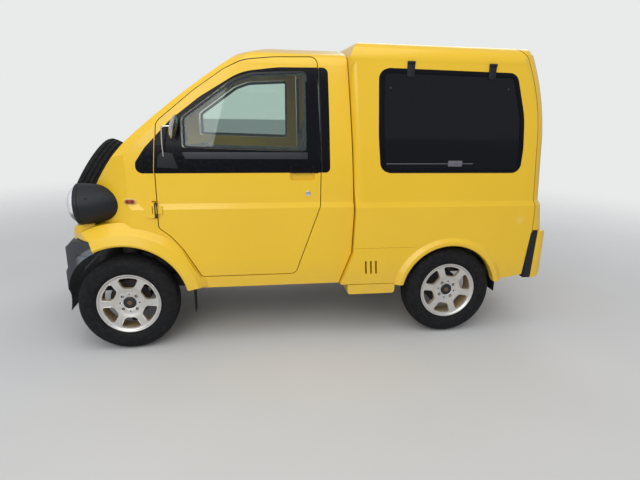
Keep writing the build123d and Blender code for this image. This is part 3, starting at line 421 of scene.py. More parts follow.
half_track = 0.555
about_face = Matrix.Rotation(math.pi, 4, "Z")
wheel_seats = {
    "front_left": Matrix.Translation((front_x, half_track, hub_height)),
    "front_right": Matrix.Translation((front_x, -half_track, hub_height)) @ about_face,
    "rear_left": Matrix.Translation((rear_x, half_track, hub_height)),
    "rear_right": Matrix.Translation((rear_x, -half_track, hub_height)) @ about_face,
}
spare_seat = (
    Matrix.Translation((front_x + 0.243, 0, 0.863))
    @ Matrix.Rotation(math.radians(-29), 4, "Y")
    @ Matrix.Rotation(math.radians(-90), 4, "Z")
)
for corner, seat in wheel_seats.items():
    road = copy_to(tyre, f"treaded_tyre_{corner}", seat)
    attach(road, f"{corner}_wheel")
    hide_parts(f"{corner}_tyre")
road = copy_to(tyre, "treaded_tyre_spare", spare_seat)
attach(road, "body")
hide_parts("spare_tyre")
bpy.data.objects.remove(tyre)


# Four alloy road wheels.
# Cast aluminium, machined and clear lacquered, with six dished spokes and rounded windows between them.
# They give the eye a bright satin silver on the face and golden-brown brake dust on the window walls.
alloy = finish("lacquered_alloy")
place = add(alloy, "ShaderNodeTexCoord", {})
deep = add(alloy, "ShaderNodeAttribute", {}, attribute_name="dust")
grime = add(alloy, "ShaderNodeTexNoise", {"Vector": (place, "Object"), "Scale": 60.0, "Detail": 7.0})
patch = add(alloy, "ShaderNodeMapRange", {"Value": (grime, "Fac"), 1: 0.3, 2: 0.7, 3: 0.55, 4: 1.1})
brown = add(
    alloy, "ShaderNodeMath", {0: (deep, "Fac"), 1: (patch, "Result")}, operation="MULTIPLY", use_clamp=True
)
speck = add(alloy, "ShaderNodeMapRange", {"Value": (grime, "Fac"), 1: 0.55, 2: 0.85, 3: 0.0, 4: 0.5})
silver = blend(alloy, (speck, "Result"), "#D2D0CB", "#A79F90")
tone = blend(alloy, (brown, "Value"), (silver, 2), "#A8853A")
bright = add(alloy, "ShaderNodeMapRange", {"Value": (brown, "Value"), 1: 0.0, 2: 0.8, 3: 0.75, 4: 0.1})
matt = add(alloy, "ShaderNodeMapRange", {"Value": (brown, "Value"), 1: 0.0, 2: 0.8, 3: 0.33, 4: 0.75})
surface(alloy, {"Base Color": (tone, 2), "Metallic": (bright, "Result"), "Roughness": (matt, "Result")})


def cut_with(piece, cutter, how="DIFFERENCE"):
    """Applies a boolean, and removes the cutter."""
    pick(piece)
    step = piece.modifiers.new("cut", "BOOLEAN")
    step.object = cutter
    step.operation = how
    step.solver = "EXACT"
    bpy.ops.object.modifier_apply(modifier=step.name)
    bpy.data.objects.remove(cutter)


def round_edges(piece, width, segments, angle):
    """Applies a bevel, in mm, to the edges sharper than an angle in degrees."""
    pick(piece)
    step = piece.modifiers.new("edges", "BEVEL")
    step.width = width / 1000
    step.segments = segments
    step.limit_method = "ANGLE"
    step.angle_limit = math.radians(angle)
    bpy.ops.object.modifier_apply(modifier=step.name)


wheel = turned(
    "wheel",
    [
        (31, 30), (33.5, 36.5), (36, 38), (58, 38.4), (66, 39.2), (74, 41.6), (84, 44.6), (98, 46.8),
        (125, 48),
        (148, 48), (154, 48.6), (157.5, 50.6), (160, 54), (162.6, 56.8), (165.5, 57.9), (168.4, 57.5),
        (169.4, 56),
        (169.2, 54), (166, 50.5), (157, 43), (157, -43), (166, -52), (169.2, -55), (169.4, -57),
        (168, -57.9),
        (155, -57), (152, -54), (152, 24), (146, 26), (84, 25), (66, 20), (62, 16), (62, -13.5),
        (31, -13.5),
    ],
    96,
)


def prism(name, corners, near, far, bend=0.0, bends=()):
    """A prism along y from an outline in mm in the x-z plane, with chosen corners rounded."""
    bpy.ops.object.select_all(action="DESELECT")
    bpy.ops.mesh.primitive_circle_add(vertices=len(corners), radius=0.1, fill_type="NGON")
    piece = bpy.context.object
    piece.name = name
    for point, (x, z) in zip(piece.data.vertices, corners):
        point.co = (x / 1000, near / 1000, z / 1000)
    bpy.ops.object.mode_set(mode="EDIT")
    if bend:
        form = bmesh.from_edit_mesh(piece.data)
        form.verts.ensure_lookup_table()
        for point in form.verts:
            point.select_set(point.index in bends or not bends)
        form.select_flush_mode()
        bmesh.update_edit_mesh(piece.data)
        bpy.ops.mesh.bevel(offset=bend / 1000, segments=6, affect="VERTICES", offset_type="OFFSET")
    bpy.ops.mesh.select_all(action="SELECT")
    bpy.ops.mesh.extrude_region_move(TRANSFORM_OT_translate={"value": (0, (far - near) / 1000, 0)})
    bpy.ops.mesh.select_all(action="SELECT")
    bpy.ops.mesh.normals_make_consistent(inside=False)
    bpy.ops.object.mode_set(mode="OBJECT")
    return piece


def cylinder(sides, radius, depth, rotation):
    """A cylinder in m round the origin, laid over by a rotation."""
    bpy.ops.object.select_all(action="DESELECT")
    bpy.ops.mesh.primitive_cylinder_add(vertices=sides, radius=radius, depth=depth, rotation=rotation)
    bpy.ops.object.transform_apply(rotation=True)
    return bpy.context.object


lying = (math.pi / 2, 0, 0)
arc = [
    (147 * math.sin(math.radians(turn)), 147 * math.cos(math.radians(turn)))
    for turn in (22, 14, 7, 0, -7, -14, -22)
]
window = prism("window", [(-28, 85), (28, 85), *arc], -5, 80, 13, (0, 1, 2, 8))
for index in range(6):
    cut_with(wheel, copy_to(window, "cutter", Matrix.Rotation(math.radians(60 * index), 4, "Y")))
bpy.data.objects.remove(window)
for index in range(8):
    radius = 9.5 if index % 2 else 5.0
    hole = cylinder(20, radius / 1000, 0.1, lying)
    turn = Matrix.Rotation(math.radians(45 * index), 4, "Y")
    hole.data.transform(turn @ Matrix.Translation((0.0515, 0.045, 0)))
    cut_with(wheel, hole)
round_edges(wheel, 2.4, 3, 42)
smooth(wheel, 38)
dirt = wheel.data.attributes.new("dust", "FLOAT", "POINT")
for point, mark in zip(wheel.data.vertices, dirt.data):
    radius = math.hypot(point.co.x, point.co.z)
    sunk = min(1.0, max(0.0, (0.0462 - point.co.y) / 0.009))
    mark.value = sunk * min(1.0, max(0.0, (radius - 0.074) / 0.010)) * (0.8 if point.co.y < 0.0 else 1.0)
wear(wheel, alloy)

# Wheel bolts of zinc-plated steel. They give the eye small hard glints in the bolt pockets.
zinc = finish("zinc_plated_steel")
place = add(zinc, "ShaderNodeTexCoord", {})
bloom = add(zinc, "ShaderNodeTexNoise", {"Vector": (place, "Object"), "Scale": 220.0, "Detail": 4.0})
tone = blend(zinc, (bloom, "Fac"), "#A9A8A4", "#6F665A")
surface(zinc, {"Base Color": (tone, 2), "Metallic": 0.9, "Roughness": 0.36})
bolts = []
for index in range(4):
    bolt = cylinder(6, 0.0078, 0.03, lying)
    bpy.ops.object.mode_set(mode="EDIT")
    pick_faces(bolt, lambda centre: centre.y > 0.014)
    bpy.ops.mesh.inset(thickness=0.0016, depth=0.0012)
    bpy.ops.mesh.inset(thickness=0.0015, depth=-0.001)
    bpy.ops.object.mode_set(mode="OBJECT")
    turn = Matrix.Rotation(math.radians(45 + 90 * index), 4, "Y")
    bolt.data.transform(turn @ Matrix.Translation((0.0515, 0.019, 0)))
    bolts.append(bolt)


def joined(pieces, name):
    """Joins pieces into one."""
    bpy.ops.object.select_all(action="DESELECT")
    for piece in pieces:
        piece.select_set(True)
    bpy.context.view_layer.objects.active = pieces[0]
    bpy.ops.object.join()
    pieces[0].name = name
    return pieces[0]


bolts = joined(bolts, "bolts")
smooth(bolts, 30)
wear(bolts, zinc)

# Centre caps, moulded nylon with a faded middle. They give the eye a dark ring round a brownish disc.
cap_nylon = finish("faded_nylon")
place = add(cap_nylon, "ShaderNodeTexCoord", {})
middle = add(cap_nylon, "ShaderNodeAttribute", {}, attribute_name="middle")
blotch = add(cap_nylon, "ShaderNodeTexNoise", {"Vector": (place, "Object"), "Scale": 150.0, "Detail": 4.0})
fade = maths(cap_nylon, "MULTIPLY", (middle, "Fac"), (blotch, "Fac"))
tone = blend(cap_nylon, (fade, "Value"), "#17171A", "#8A6748")
surface(cap_nylon, {"Base Color": (tone, 2), "Roughness": 0.42})
cap = turned(
    "cap",
    [(0, 42.5), (12, 42.3), (14, 41.2), (17, 41.2), (19, 42), (29, 41), (33.5, 38.6), (33.5, 33), (0, 33)],
    48,
)
smooth(cap, 35)
mark = cap.data.attributes.new("middle", "FLOAT", "POINT")
for point, shade in zip(cap.data.vertices, mark.data):
    shade.value = 1.0 if math.hypot(point.co.x, point.co.z) < 0.0135 else 0.0
wear(cap, cap_nylon)

for corner, seat in wheel_seats.items():
    turn = seat @ Matrix.Rotation(math.radians(-10 if "rear" in corner else 0), 4, "Y")
    for pattern, name, slot, stands in (
        (wheel, "alloy_wheel", "alloy", f"{corner}_rim"),
        (bolts, "wheel_bolts", "steel", None),
        (cap, "centre_cap", "black_plastic", None),
    ):
        piece = copy_to(pattern, f"{name}_{corner}", turn)
        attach(piece, f"{corner}_wheel")
        if stands:
            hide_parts(stands)
for pattern in (wheel, bolts, cap):
    bpy.data.objects.remove(pattern)


# Headlamp housings.
# Egg-shaped shells of black ABS, injection moulded and screwed to the corners of the nose.
# They give the eye a soft dark sheen running to a point over the wing, a fine line behind the rim and
# a side recess.
egg = [(110 * math.sin(math.radians(turn)), -246 * math.cos(math.radians(turn))) for turn in range(4, 85, 4)]
housing = turned(
    "housing",
    [
        (0, -246), *egg, (109.7, -20), (108.2, -18.5), (108.2, -16.5), (110, -15), (110.4, -3), (109.6, 3),
        (107, 5.2), (103, 5.2), (100.2, 2), (99, -6), (98.6, -84), (0, -84),
    ],
    112,
)
crosswise = (0, math.pi / 2, 0)
for side in (-1, 1):
    recess = cylinder(28, 0.0075, 0.02, crosswise)
    turn = Matrix.Rotation(math.radians(side * -22), 4, "Y")
    recess.data.transform(
        Matrix.Translation((0, -0.066, 0)) @ turn @ Matrix.Translation((side * 0.111, 0, 0))
    )
    cut_with(housing, recess)
round_edges(housing, 0.8, 2, 55)
smooth(housing, 34)
wear(housing, moulded)
lamp_seats = [
    Matrix.Translation((front_x + 0.227, side * 0.505, 0.806))
    @ Matrix.Rotation(math.radians(2), 4, "Y")
    @ Matrix.Rotation(math.radians(-90), 4, "Z")
    for side in (1, -1)
]
housings = joined([copy_to(housing, "housing_side", seat) for seat in lamp_seats], "headlamp_housings")
bpy.data.objects.remove(housing)
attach(housings, "body")
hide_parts("headlamp_pods")


# Headlamp reflectors and bulbs.
# Pressed steel bowls, aluminised inside, with a glass capsule in the middle.
# They give the eye a bright mirror that breaks the light up behind the lens, and a small darker core.
chrome = finish("chrome_plate")
place = add(chrome, "ShaderNodeTexCoord", {})
pits = add(chrome, "ShaderNodeTexNoise", {"Vector": (place, "Object"), "Scale": 120.0, "Detail": 6.0})
dim = add(chrome, "ShaderNodeMapRange", {"Value": (pits, "Fac"), 1: 0.4, 2: 0.8, 3: 0.05, 4: 0.22})
surface(chrome, {"Base Color": linear("#D8D8D6"), "Metallic": 1.0, "Roughness": (dim, "Result")})
bowl_line = [(radius, -74 + 70 * (radius / 94) ** 2) for radius in (14, 26, 38, 50, 62, 74, 84, 92, 96.5)]
bowl = turned("bowl", [*bowl_line, *[(radius, along - 1.6) for radius, along in reversed(bowl_line)]], 72)
smooth(bowl, 50)
wear(bowl, chrome)
bowls = joined([copy_to(bowl, "bowl_side", seat) for seat in lamp_seats], "headlamp_reflectors")
bpy.data.objects.remove(bowl)
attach(bowls, "body")

bulb_glass = finish("bulb_glass")
place = add(bulb_glass, "ShaderNodeTexCoord", {})
streak = add(bulb_glass, "ShaderNodeTexNoise", {"Vector": (place, "Object"), "Scale": 90.0})
tone = blend(bulb_glass, (streak, "Fac"), "#C9CCCB", "#8F8F88")
surface(bulb_glass, {"Base Color": (tone, 2), "Roughness": 0.12})
bulb = turned(
    "bulb", [(0, -26), (5, -27.5), (8, -32), (9, -38), (9, -58), (13, -59), (13, -78), (0, -78)], 32
)
smooth(bulb, 35)
wear(bulb, bulb_glass)
bulbs = joined([copy_to(bulb, "bulb_side", seat) for seat in lamp_seats], "headlamp_bulbs")
bpy.data.objects.remove(bulb)
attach(bulbs, "body")


# Headlamp lenses.
# Pressed clear glass domes with upright flutes inside, clipped into the rim.
# They give the eye a bright sky reflection over a rippled, silvery depth, and the upper part of each lens is
# painted white as a painted highlight.
lens_glass = finish("fluted_lens_glass")
place = add(lens_glass, "ShaderNodeTexCoord", {})
flutes = add(
    lens_glass, "ShaderNodeTexWave", {"Vector": (place, "Object"), "Scale": 26.0, "Distortion": 0.0},
    bands_direction="Y",
)
ripple = add(lens_glass, "ShaderNodeBump", {"Height": (flutes, "Fac"), "Strength": 0.5, "Distance": 0.002})
edge = add(lens_glass, "ShaderNodeFresnel", {"IOR": 1.5, "Normal": (ripple, "Normal")})
gain = add(lens_glass, "ShaderNodeMapRange", {"Value": (edge, "Fac"), 1: 0.0, 2: 0.7, 3: 0.12, 4: 1.0})
mirror_part = add(lens_glass, "ShaderNodeBsdfGlossy", {"Roughness": 0.03, "Normal": (ripple, "Normal")})
clear_part = add(lens_glass, "ShaderNodeBsdfTransparent", {"Color": linear("#A2A4AC")})
# Painted highlight: above a set height the lens turns from clear to a matt white.
height = add(lens_glass, "ShaderNodeSeparateXYZ", {"Vector": (place, "Object")})
lit_top_share = add(
    lens_glass, "ShaderNodeMapRange", {"Value": (height, "Z"), 1: 0.760, 2: 0.784, 3: 0.06, 4: 0.88}
)
painted_highlight_white = add(
    lens_glass, "ShaderNodeBsdfDiffuse", {"Color": linear("#F2F4F6"), "Normal": (ripple, "Normal")}
)
through = add(
    lens_glass, "ShaderNodeMixShader", {0: (lit_top_share, "Result"), 1: (clear_part, "BSDF"), 2: (painted_highlight_white, "BSDF")}
)
pane = add(
    lens_glass, "ShaderNodeMixShader",
    {0: (gain, "Result"), 1: (through, "Shader"), 2: (mirror_part, "BSDF")},
)
add(lens_glass, "ShaderNodeOutputMaterial", {"Surface": (pane, "Shader")})
dome = [
    (98 * math.sin(math.radians(turn)), 2 + 52 * math.cos(math.radians(turn)))
    for turn in range(6, 91, 6)
]
under = [(radius * 0.965, along - 3) for radius, along in reversed(dome)]
lens = turned("lens", [(0, 54), *dome, (98, -20), (94.5, -20), *under, (0, 51)], 96)
smooth(lens, 40)
wear(lens, lens_glass)
lenses = joined([copy_to(lens, "lens_side", seat) for seat in lamp_seats], "headlamp_glasses")
bpy.data.objects.remove(lens)
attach(lenses, "body")
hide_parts("headlamp_lenses")


# Door mirrors.
# Round convex glasses in chromed steel shells, each on a bent chromed rod with a black moulded foot on
# the door.
# They give the eye a leaf-shaped flash of sky over dark ground and a thin bright line beside the window.
mirror_line = [
    (62 * math.sin(math.radians(turn)), 20 * math.cos(math.radians(turn)))
    for turn in range(6, 91, 7)
]
head = turned(
    "mirror_head",
    [
        (0, 20), *mirror_line, (63.4, 1.6), (64.2, 0), (63.4, -1.6), (61, -2.4), (59, -2.2),
        *[(radius * 0.94, -2.4 - along * 0.55) for radius, along in reversed(mirror_line)], (0, -13.4),
    ],
    80,
)
smooth(head, 38)
wear(head, chrome)
head_seat = (
    Matrix.Translation((rear_x + 1.5385, 0.679, 1.2165))
    @ Matrix.Rotation(math.radians(-11), 4, "Y")
    @ Matrix.Rotation(math.radians(-4), 4, "Z")
    @ Matrix.Rotation(math.radians(-90), 4, "Z")
)


def tube(name, stops, radius, bend, steps):
    """A round rod in mm along a path in the rear-axle frame, bent with a radius at its inner stops."""
    path = bpy.data.curves.new(name, "CURVE")
    path.dimensions = "3D"
    points = []
    for index, stop in enumerate(stops):
        here = Vector(stop)
        if index in (0, len(stops) - 1):
            points.append(here)
            continue
        before = here + (Vector(stops[index - 1]) - here).normalized() * bend
        after = here + (Vector(stops[index + 1]) - here).normalized() * bend
        for share in range(steps + 1):
            part = share / steps
            points.append(before.lerp(here, part).lerp(here.lerp(after, part), part))
    line = path.splines.new("POLY")
    line.points.add(len(points) - 1)
    for mark, point in zip(line.points, points):
        mark.co = (rear_x + point.x / 1000, point.y / 1000, point.z / 1000, 1.0)
    path.bevel_depth = radius / 1000
    path.bevel_resolution = 6
    path.use_fill_caps = True
    drawn = bpy.data.objects.new(name, path)
    bpy.context.scene.collection.objects.link(drawn)
    pick(drawn)
    bpy.ops.object.convert(target="MESH")
    piece = bpy.context.object
    piece.name = name
    return piece


def mirror_copy(piece, name):
    """The right-hand copy of a left piece."""
    twin = copy_to(piece, name, to_right)
    twin.data.flip_normals()
    return twin


to_right = Matrix.Scale(-1, 4, (0, 1, 0))
arm = tube("arm", [(1608, 606, 1070), (1606, 640, 1132), (1598, 674, 1222), (1552, 679, 1223)], 3.6, 12, 6)
smooth(arm, 40)
wear(arm, chrome)
foot = prism("foot", [(1536, 1004), (1646, 1010), (1640, 1062), (1622, 1090), (1560, 1086)], 0, 17, 9)
foot.data.transform(Matrix.Translation((rear_x, 0.5905, 0.0)))
round_edges(foot, 5, 3, 50)
smooth(foot, 35)
wear(foot, moulded)
mirror = joined([copy_to(head, "mirror_glass", head_seat), arm, foot], "door_mirror_left")
bpy.data.objects.remove(head)
twin = mirror_copy(mirror, "door_mirror_right")
for side, piece in (("left", mirror), ("right", twin)):
    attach(piece, f"door_{side}")
    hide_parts(f"mirror_{side}")


# Side markers.
# Orange acrylic lenses with rounded ends on a pale moulded rim, screwed to the corners of the nose.
# They give the eye a deep orange-brown spot with two dark bulb shadows.
marker_x = front_x - 0.049
marker_z = 0.834

amber = finish("amber_acrylic")
place = add(amber, "ShaderNodeTexCoord", {})
spot = add(
    amber, "ShaderNodeVectorMath", {0: (place, "Object"), 1: (marker_x, 0.0, marker_z)},
    operation="SUBTRACT",
)
flat = add(amber, "ShaderNodeSeparateXYZ", {"Vector": (spot, "Vector")})
mid = maths(amber, "ABSOLUTE", (flat, "X"))
off = maths(amber, "SUBTRACT", (mid, "Value"), 0.0115)
shade = add(amber, "ShaderNodeCombineXYZ", {"X": (off, "Value"), "Z": (flat, "Z")})
near = add(amber, "ShaderNodeVectorMath", {0: (shade, "Vector")}, operation="LENGTH")
dark = add(amber, "ShaderNodeMapRange", {"Value": (near, "Value"), 1: 0.004, 2: 0.0085, 3: 1.0, 4: 0.0})
tone = blend(amber, (dark, "Result"), "#A4401A", "#5A1B0C")
surface(amber, {"Base Color": (tone, 2), "Roughness": 0.2})
rim_plastic = finish("ivory_rim_moulding")
place = add(rim_plastic, "ShaderNodeTexCoord", {})
age = add(rim_plastic, "ShaderNodeTexNoise", {"Vector": (place, "Object"), "Scale": 140.0})
tone = blend(rim_plastic, (age, "Fac"), "#E6D08A", "#CDB36A")
surface(rim_plastic, {"Base Color": (tone, 2), "Roughness": 0.45})
marker_parts = []
for long, tall, near_y, far_y, curve_by, coat in (
    (60, 32, -4, 4.5, 14, rim_plastic),
    (51, 23, 0, 9, 11, amber),
):
    half, rise = long / 2, tall / 2
    outline = [(-half, -rise), (half, -rise), (half, rise), (-half, rise)]
    plate = prism("marker_plate", outline, near_y, far_y, curve_by)
    round_edges(plate, 2.4, 3, 50)
    smooth(plate, 40)
    wear(plate, coat)
    marker_parts.append(plate)
marker = joined(marker_parts, "side_marker_left")


def side_tree(names):
    """The faces of some nodes, for rays from the left side."""
    points = []
    faces = []
    for name in names:
        shift = len(points)
        points += [nodes[name].matrix_world @ point.co for point in nodes[name].data.vertices]
        faces += [[shift + index for index in face.vertices] for face in nodes[name].data.polygons]
    return BVHTree.FromPolygons(points, faces)


def side_y(tree, x, z):
    """How far out the left side lies at a place."""
    hit = tree.ray_cast(Vector((x, 1.5, z)), Vector((0, -1, 0)))
    if hit[0] is None:
        hit = tree.find_nearest(Vector((x, 0.6, z)))
    return hit[0].y


cab_tree = side_tree(["cab_shell"])
skin_y = side_y(cab_tree, marker_x, marker_z)
slope = (side_y(cab_tree, marker_x + 0.02, marker_z) - side_y(cab_tree, marker_x - 0.02, marker_z)) / 0.04
lean = (side_y(cab_tree, marker_x, marker_z + 0.014) - side_y(cab_tree, marker_x, marker_z - 0.014)) / 0.028
marker.data.transform(
    Matrix.Translation((marker_x, skin_y, marker_z))
    @ Matrix.Rotation(math.atan(slope), 4, "Z")
    @ Matrix.Rotation(-math.atan(lean), 4, "X")
)
twin = mirror_copy(marker, "side_marker_right")
markers = joined([marker, twin], "side_marker_lenses")
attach(markers, "body")
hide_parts("side_markers")


# Rubber seals of the side windows.
# Extruded black rubber pushed over the glass edge, with a grey-green metal frame behind the door glass.
# They give the eye a matt black line round each pane and a soft grey ring inside it.
def curve(points, radii):
    """An outline in mm with each corner rounded by its own radius."""
    line = []
    for index, radius in enumerate(radii):
        here = Vector(points[index])
        one = (Vector(points[index - 1]) - here).normalized()
        two = (Vector(points[(index + 1) % len(points)]) - here).normalized()
        half = one.angle(two) / 2
        centre = here + (one + two).normalized() * radius / math.sin(half)
        start = here + one * radius / math.tan(half) - centre
        end = here + two * radius / math.tan(half) - centre
        steps = max(3, round((math.pi - 2 * half) / 0.11))
        for step in range(steps + 1):
            line.append(centre + start.lerp(end, step / steps).normalized() * radius)
    return line


def ring(name, line, width, low, high, tree):
    """A flat ring in mm inside an outline in the rear-axle frame, laid on the left side's skin."""
    bpy.ops.object.select_all(action="DESELECT")
    bpy.ops.mesh.primitive_circle_add(vertices=len(line), radius=0.1, fill_type="NGON")
    piece = bpy.context.object
    piece.name = name
    for point, (x, z) in zip(piece.data.vertices, line):
        point.co = (rear_x + x / 1000, 0.0, z / 1000)
    bpy.ops.object.mode_set(mode="EDIT")
    bpy.ops.mesh.select_all(action="SELECT")
    bpy.ops.mesh.inset(thickness=width / 1000, depth=0.0)
    bpy.ops.mesh.delete(type="FACE")
    bpy.ops.mesh.select_all(action="SELECT")
    bpy.ops.mesh.subdivide(number_cuts=2)
    bpy.ops.object.mode_set(mode="OBJECT")
    for point in piece.data.vertices:
        around = [side_y(tree, point.co.x + ahead, point.co.z) for ahead in (-0.01, 0.0, 0.01)]
        point.co.y = max(around) + low / 1000
    bpy.ops.object.mode_set(mode="EDIT")
    bpy.ops.mesh.select_all(action="SELECT")
    bpy.ops.mesh.extrude_region_move(TRANSFORM_OT_translate={"value": (0, (high - low) / 1000, 0)})
    bpy.ops.mesh.select_all(action="SELECT")
    bpy.ops.mesh.normals_make_consistent(inside=False)
    bpy.ops.object.mode_set(mode="OBJECT")
    return piece


def both(piece, name):
    """Joins a left piece with its mirror image."""
    return joined([piece, mirror_copy(piece, f"{name}_twin")], name)


def grow(line, reach):
    """An outline in mm moved outwards by a distance."""
    area = sum(one.x * two.y - two.x * one.y for one, two in zip(line, line[1:] + line[:1]))
    outwards = math.copysign(reach, area * reach)
    moved = []
    for index, point in enumerate(line):
        along = (line[(index + 1) % len(line)] - line[index - 1]).normalized()
        moved.append(point + Vector((along.y, -along.x)) * outwards)
    return moved


seal_rubber = finish("black_seal_rubber")
place = add(seal_rubber, "ShaderNodeTexCoord", {})
chalk = add(seal_rubber, "ShaderNodeTexNoise", {"Vector": (place, "Object"), "Scale": 45.0, "Detail": 5.0})
tone = blend(seal_rubber, (chalk, "Fac"), "#0E0F10", "#242526")
surface(seal_rubber, {"Base Color": (tone, 2), "Roughness": 0.55})
frame_paint = finish("grey_green_frame_paint")
place = add(frame_paint, "ShaderNodeTexCoord", {})
cloud = add(frame_paint, "ShaderNodeTexNoise", {"Vector": (place, "Object"), "Scale": 30.0, "Detail": 4.0})
tone = blend(frame_paint, (cloud, "Fac"), "#36403C", "#262E2C")
surface(frame_paint, {"Base Color": (tone, 2), "Roughness": 0.5})

door_pane = curve(
    [(1508, 1110), (1508, 1264), (1245, 1456), (1150, 1490), (866, 1508), (858, 1094)],
    [20, 35, 200, 150, 30, 25],
)
door_tree = side_tree(["door_glass_left"])
for side, sign in (("left", 1), ("right", -1)):
    strip = ring("strip", grow(door_pane, -1.0), 9, 0.2, 4.2, door_tree)
    round_edges(strip, 1.2, 2, 60)
    smooth(strip, 40)
    wear(strip, seal_rubber)
    lining = ring("lining", grow(door_pane, -1.5), 19, -17, -6, door_tree)
    round_edges(lining, 2.5, 2, 60)
    smooth(lining, 40)
    wear(lining, frame_paint)
    for piece, name, slot in (
        (strip, "door_window_seal", "flap_rubber"),
        (lining, "door_window_frame", "dash_plastic"),
    ):
        if sign < 0:
            piece.data.transform(to_right)
            piece.data.flip_normals()
        piece.name = f"{name}_{side}"
        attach(piece, f"door_{side}")

box_pane = curve(
    [(452, 985), (473, 1180), (488, 1527), (-282, 1520), (-352, 1290), (-367, 1120), (-362, 984)],
    [56, 800, 52, 56, 500, 300, 52],
)
box_tree = side_tree(["cargo_box", "box_windows"])
strip = ring("strip", grow(box_pane, 2.5), 26, 0.3, 1.7, box_tree)
round_edges(strip, 0.6, 2, 60)
smooth(strip, 40)
wear(strip, film_black)
seals = both(strip, "box_window_borders")
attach(seals, "body")


# Hinges and latches of the box windows.
# Moulded black hinges screwed through the glass and a grey turn latch with a thin rod.
# They give the eye two dark tabs with a barrel on top and small screw heads, and a grey bar low on the pane.
fittings = []
for x in (324, -135):
    skin_y = side_y(box_tree, rear_x + x / 1000, 1.525)
    lean = math.atan(
        (side_y(box_tree, rear_x + x / 1000, 1.555) - side_y(box_tree, rear_x + x / 1000, 1.495)) / 0.06
    )
    tab = prism("tab", [(-20.5, -39), (20.5, -39), (20.5, 37), (-20.5, 37)], 0, 6, 9, (0, 1))
    barrel = cylinder(28, 0.0075, 0.041, crosswise)
    barrel.data.transform(Matrix.Translation((0, 0.0055, 0.034)))
    screws = []
    for up in (-22, 4):
        screw = turned("screw", [(0, 8.2), (3, 8.0), (5.4, 7), (6, 5.6), (6, 3), (0, 3)], 24)
        screw.data.transform(Matrix.Translation((0, 0, up / 1000)))
        screws.append(screw)
    tab = joined([tab, barrel, *screws], "tab")
    tab.data.transform(
        Matrix.Translation((rear_x + x / 1000, skin_y + 0.001, 1.525)) @ Matrix.Rotation(-lean, 4, "X")
    )
    fittings.append(tab)
skin_y = side_y(box_tree, rear_x + 0.037, 1.035)
bar = prism("bar", [(-41, -16), (41, -16), (41, 16), (-41, 16)], 0, 11, 5)
knob = turned("knob", [(0, 14.5), (7, 14), (9, 12), (9, 4), (0, 4)], 32)
bar = joined([bar, knob], "bar")
bar.data.transform(Matrix.Translation((rear_x + 0.037, skin_y + 0.001, 1.035)))
fittings.append(bar)
latch_grey = finish("grey_latch_moulding")
place = add(latch_grey, "ShaderNodeTexCoord", {})
cloud = add(latch_grey, "ShaderNodeTexNoise", {"Vector": (place, "Object"), "Scale": 80.0, "Detail": 4.0})
tone = blend(latch_grey, (cloud, "Fac"), "#6E6C72", "#57565C")
surface(latch_grey, {"Base Color": (tone, 2), "Roughness": 0.4})
for piece in fittings:
    round_edges(piece, 1.2, 2, 50)
    smooth(piece, 38)
    wear(piece, latch_grey if piece == bar else moulded)
rod = tube("rod", [(-70, skin_y * 1000 + 5, 1034), (432, skin_y * 1000 + 4, 1033)], 2.2, 5, 2)
smooth(rod, 40)
wear(rod, latch_grey)
fittings.append(rod)
for x, z in ((429, 1429), (-240, 1437)):
    stud = turned("stud", [(0, 4.6), (4, 4.2), (6.5, 2.4), (7, 0), (7, -3), (0, -3)], 24)
    stud_y = side_y(box_tree, rear_x + x / 1000, z / 1000) + 0.0005
    stud.data.transform(Matrix.Translation((rear_x + x / 1000, stud_y, z / 1000)))
    smooth(stud, 40)
    wear(stud, seal_rubber)
    fittings.append(stud)
fittings = both(joined(fittings, "fittings"), "box_window_fittings")
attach(fittings, "body")
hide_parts("window_fittings")


# Door locks.
# Chromed steel barrels under the handles, turned and pushed into the door skin.
# They give the eye a small bright ring with a dark slot.
door_tree = side_tree(["door_left"])
lock_y = side_y(door_tree, rear_x + 0.857, 0.867)
for side, sign in (("left", 1), ("right", -1)):
    lock = turned("lock", [(0, 1.6), (8.4, 1.4), (10, 3.2), (13.4, 3), (15, 1.4), (15, -3), (0, -3)], 36)
    slot_cut = prism("slot_cut", [(-1.2, -6), (1.2, -6), (1.2, 6), (-1.2, 6)], 0.2, 5)
    cut_with(lock, slot_cut)
    smooth(lock, 34)
    wear(lock, chrome)
    facing = Matrix.Identity(4) if sign > 0 else about_face
    lock.data.transform(Matrix.Translation((rear_x + 0.857, sign * lock_y, 0.867)) @ facing)
    lock.name = f"door_lock_{side}"
    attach(lock, f"door_{side}")


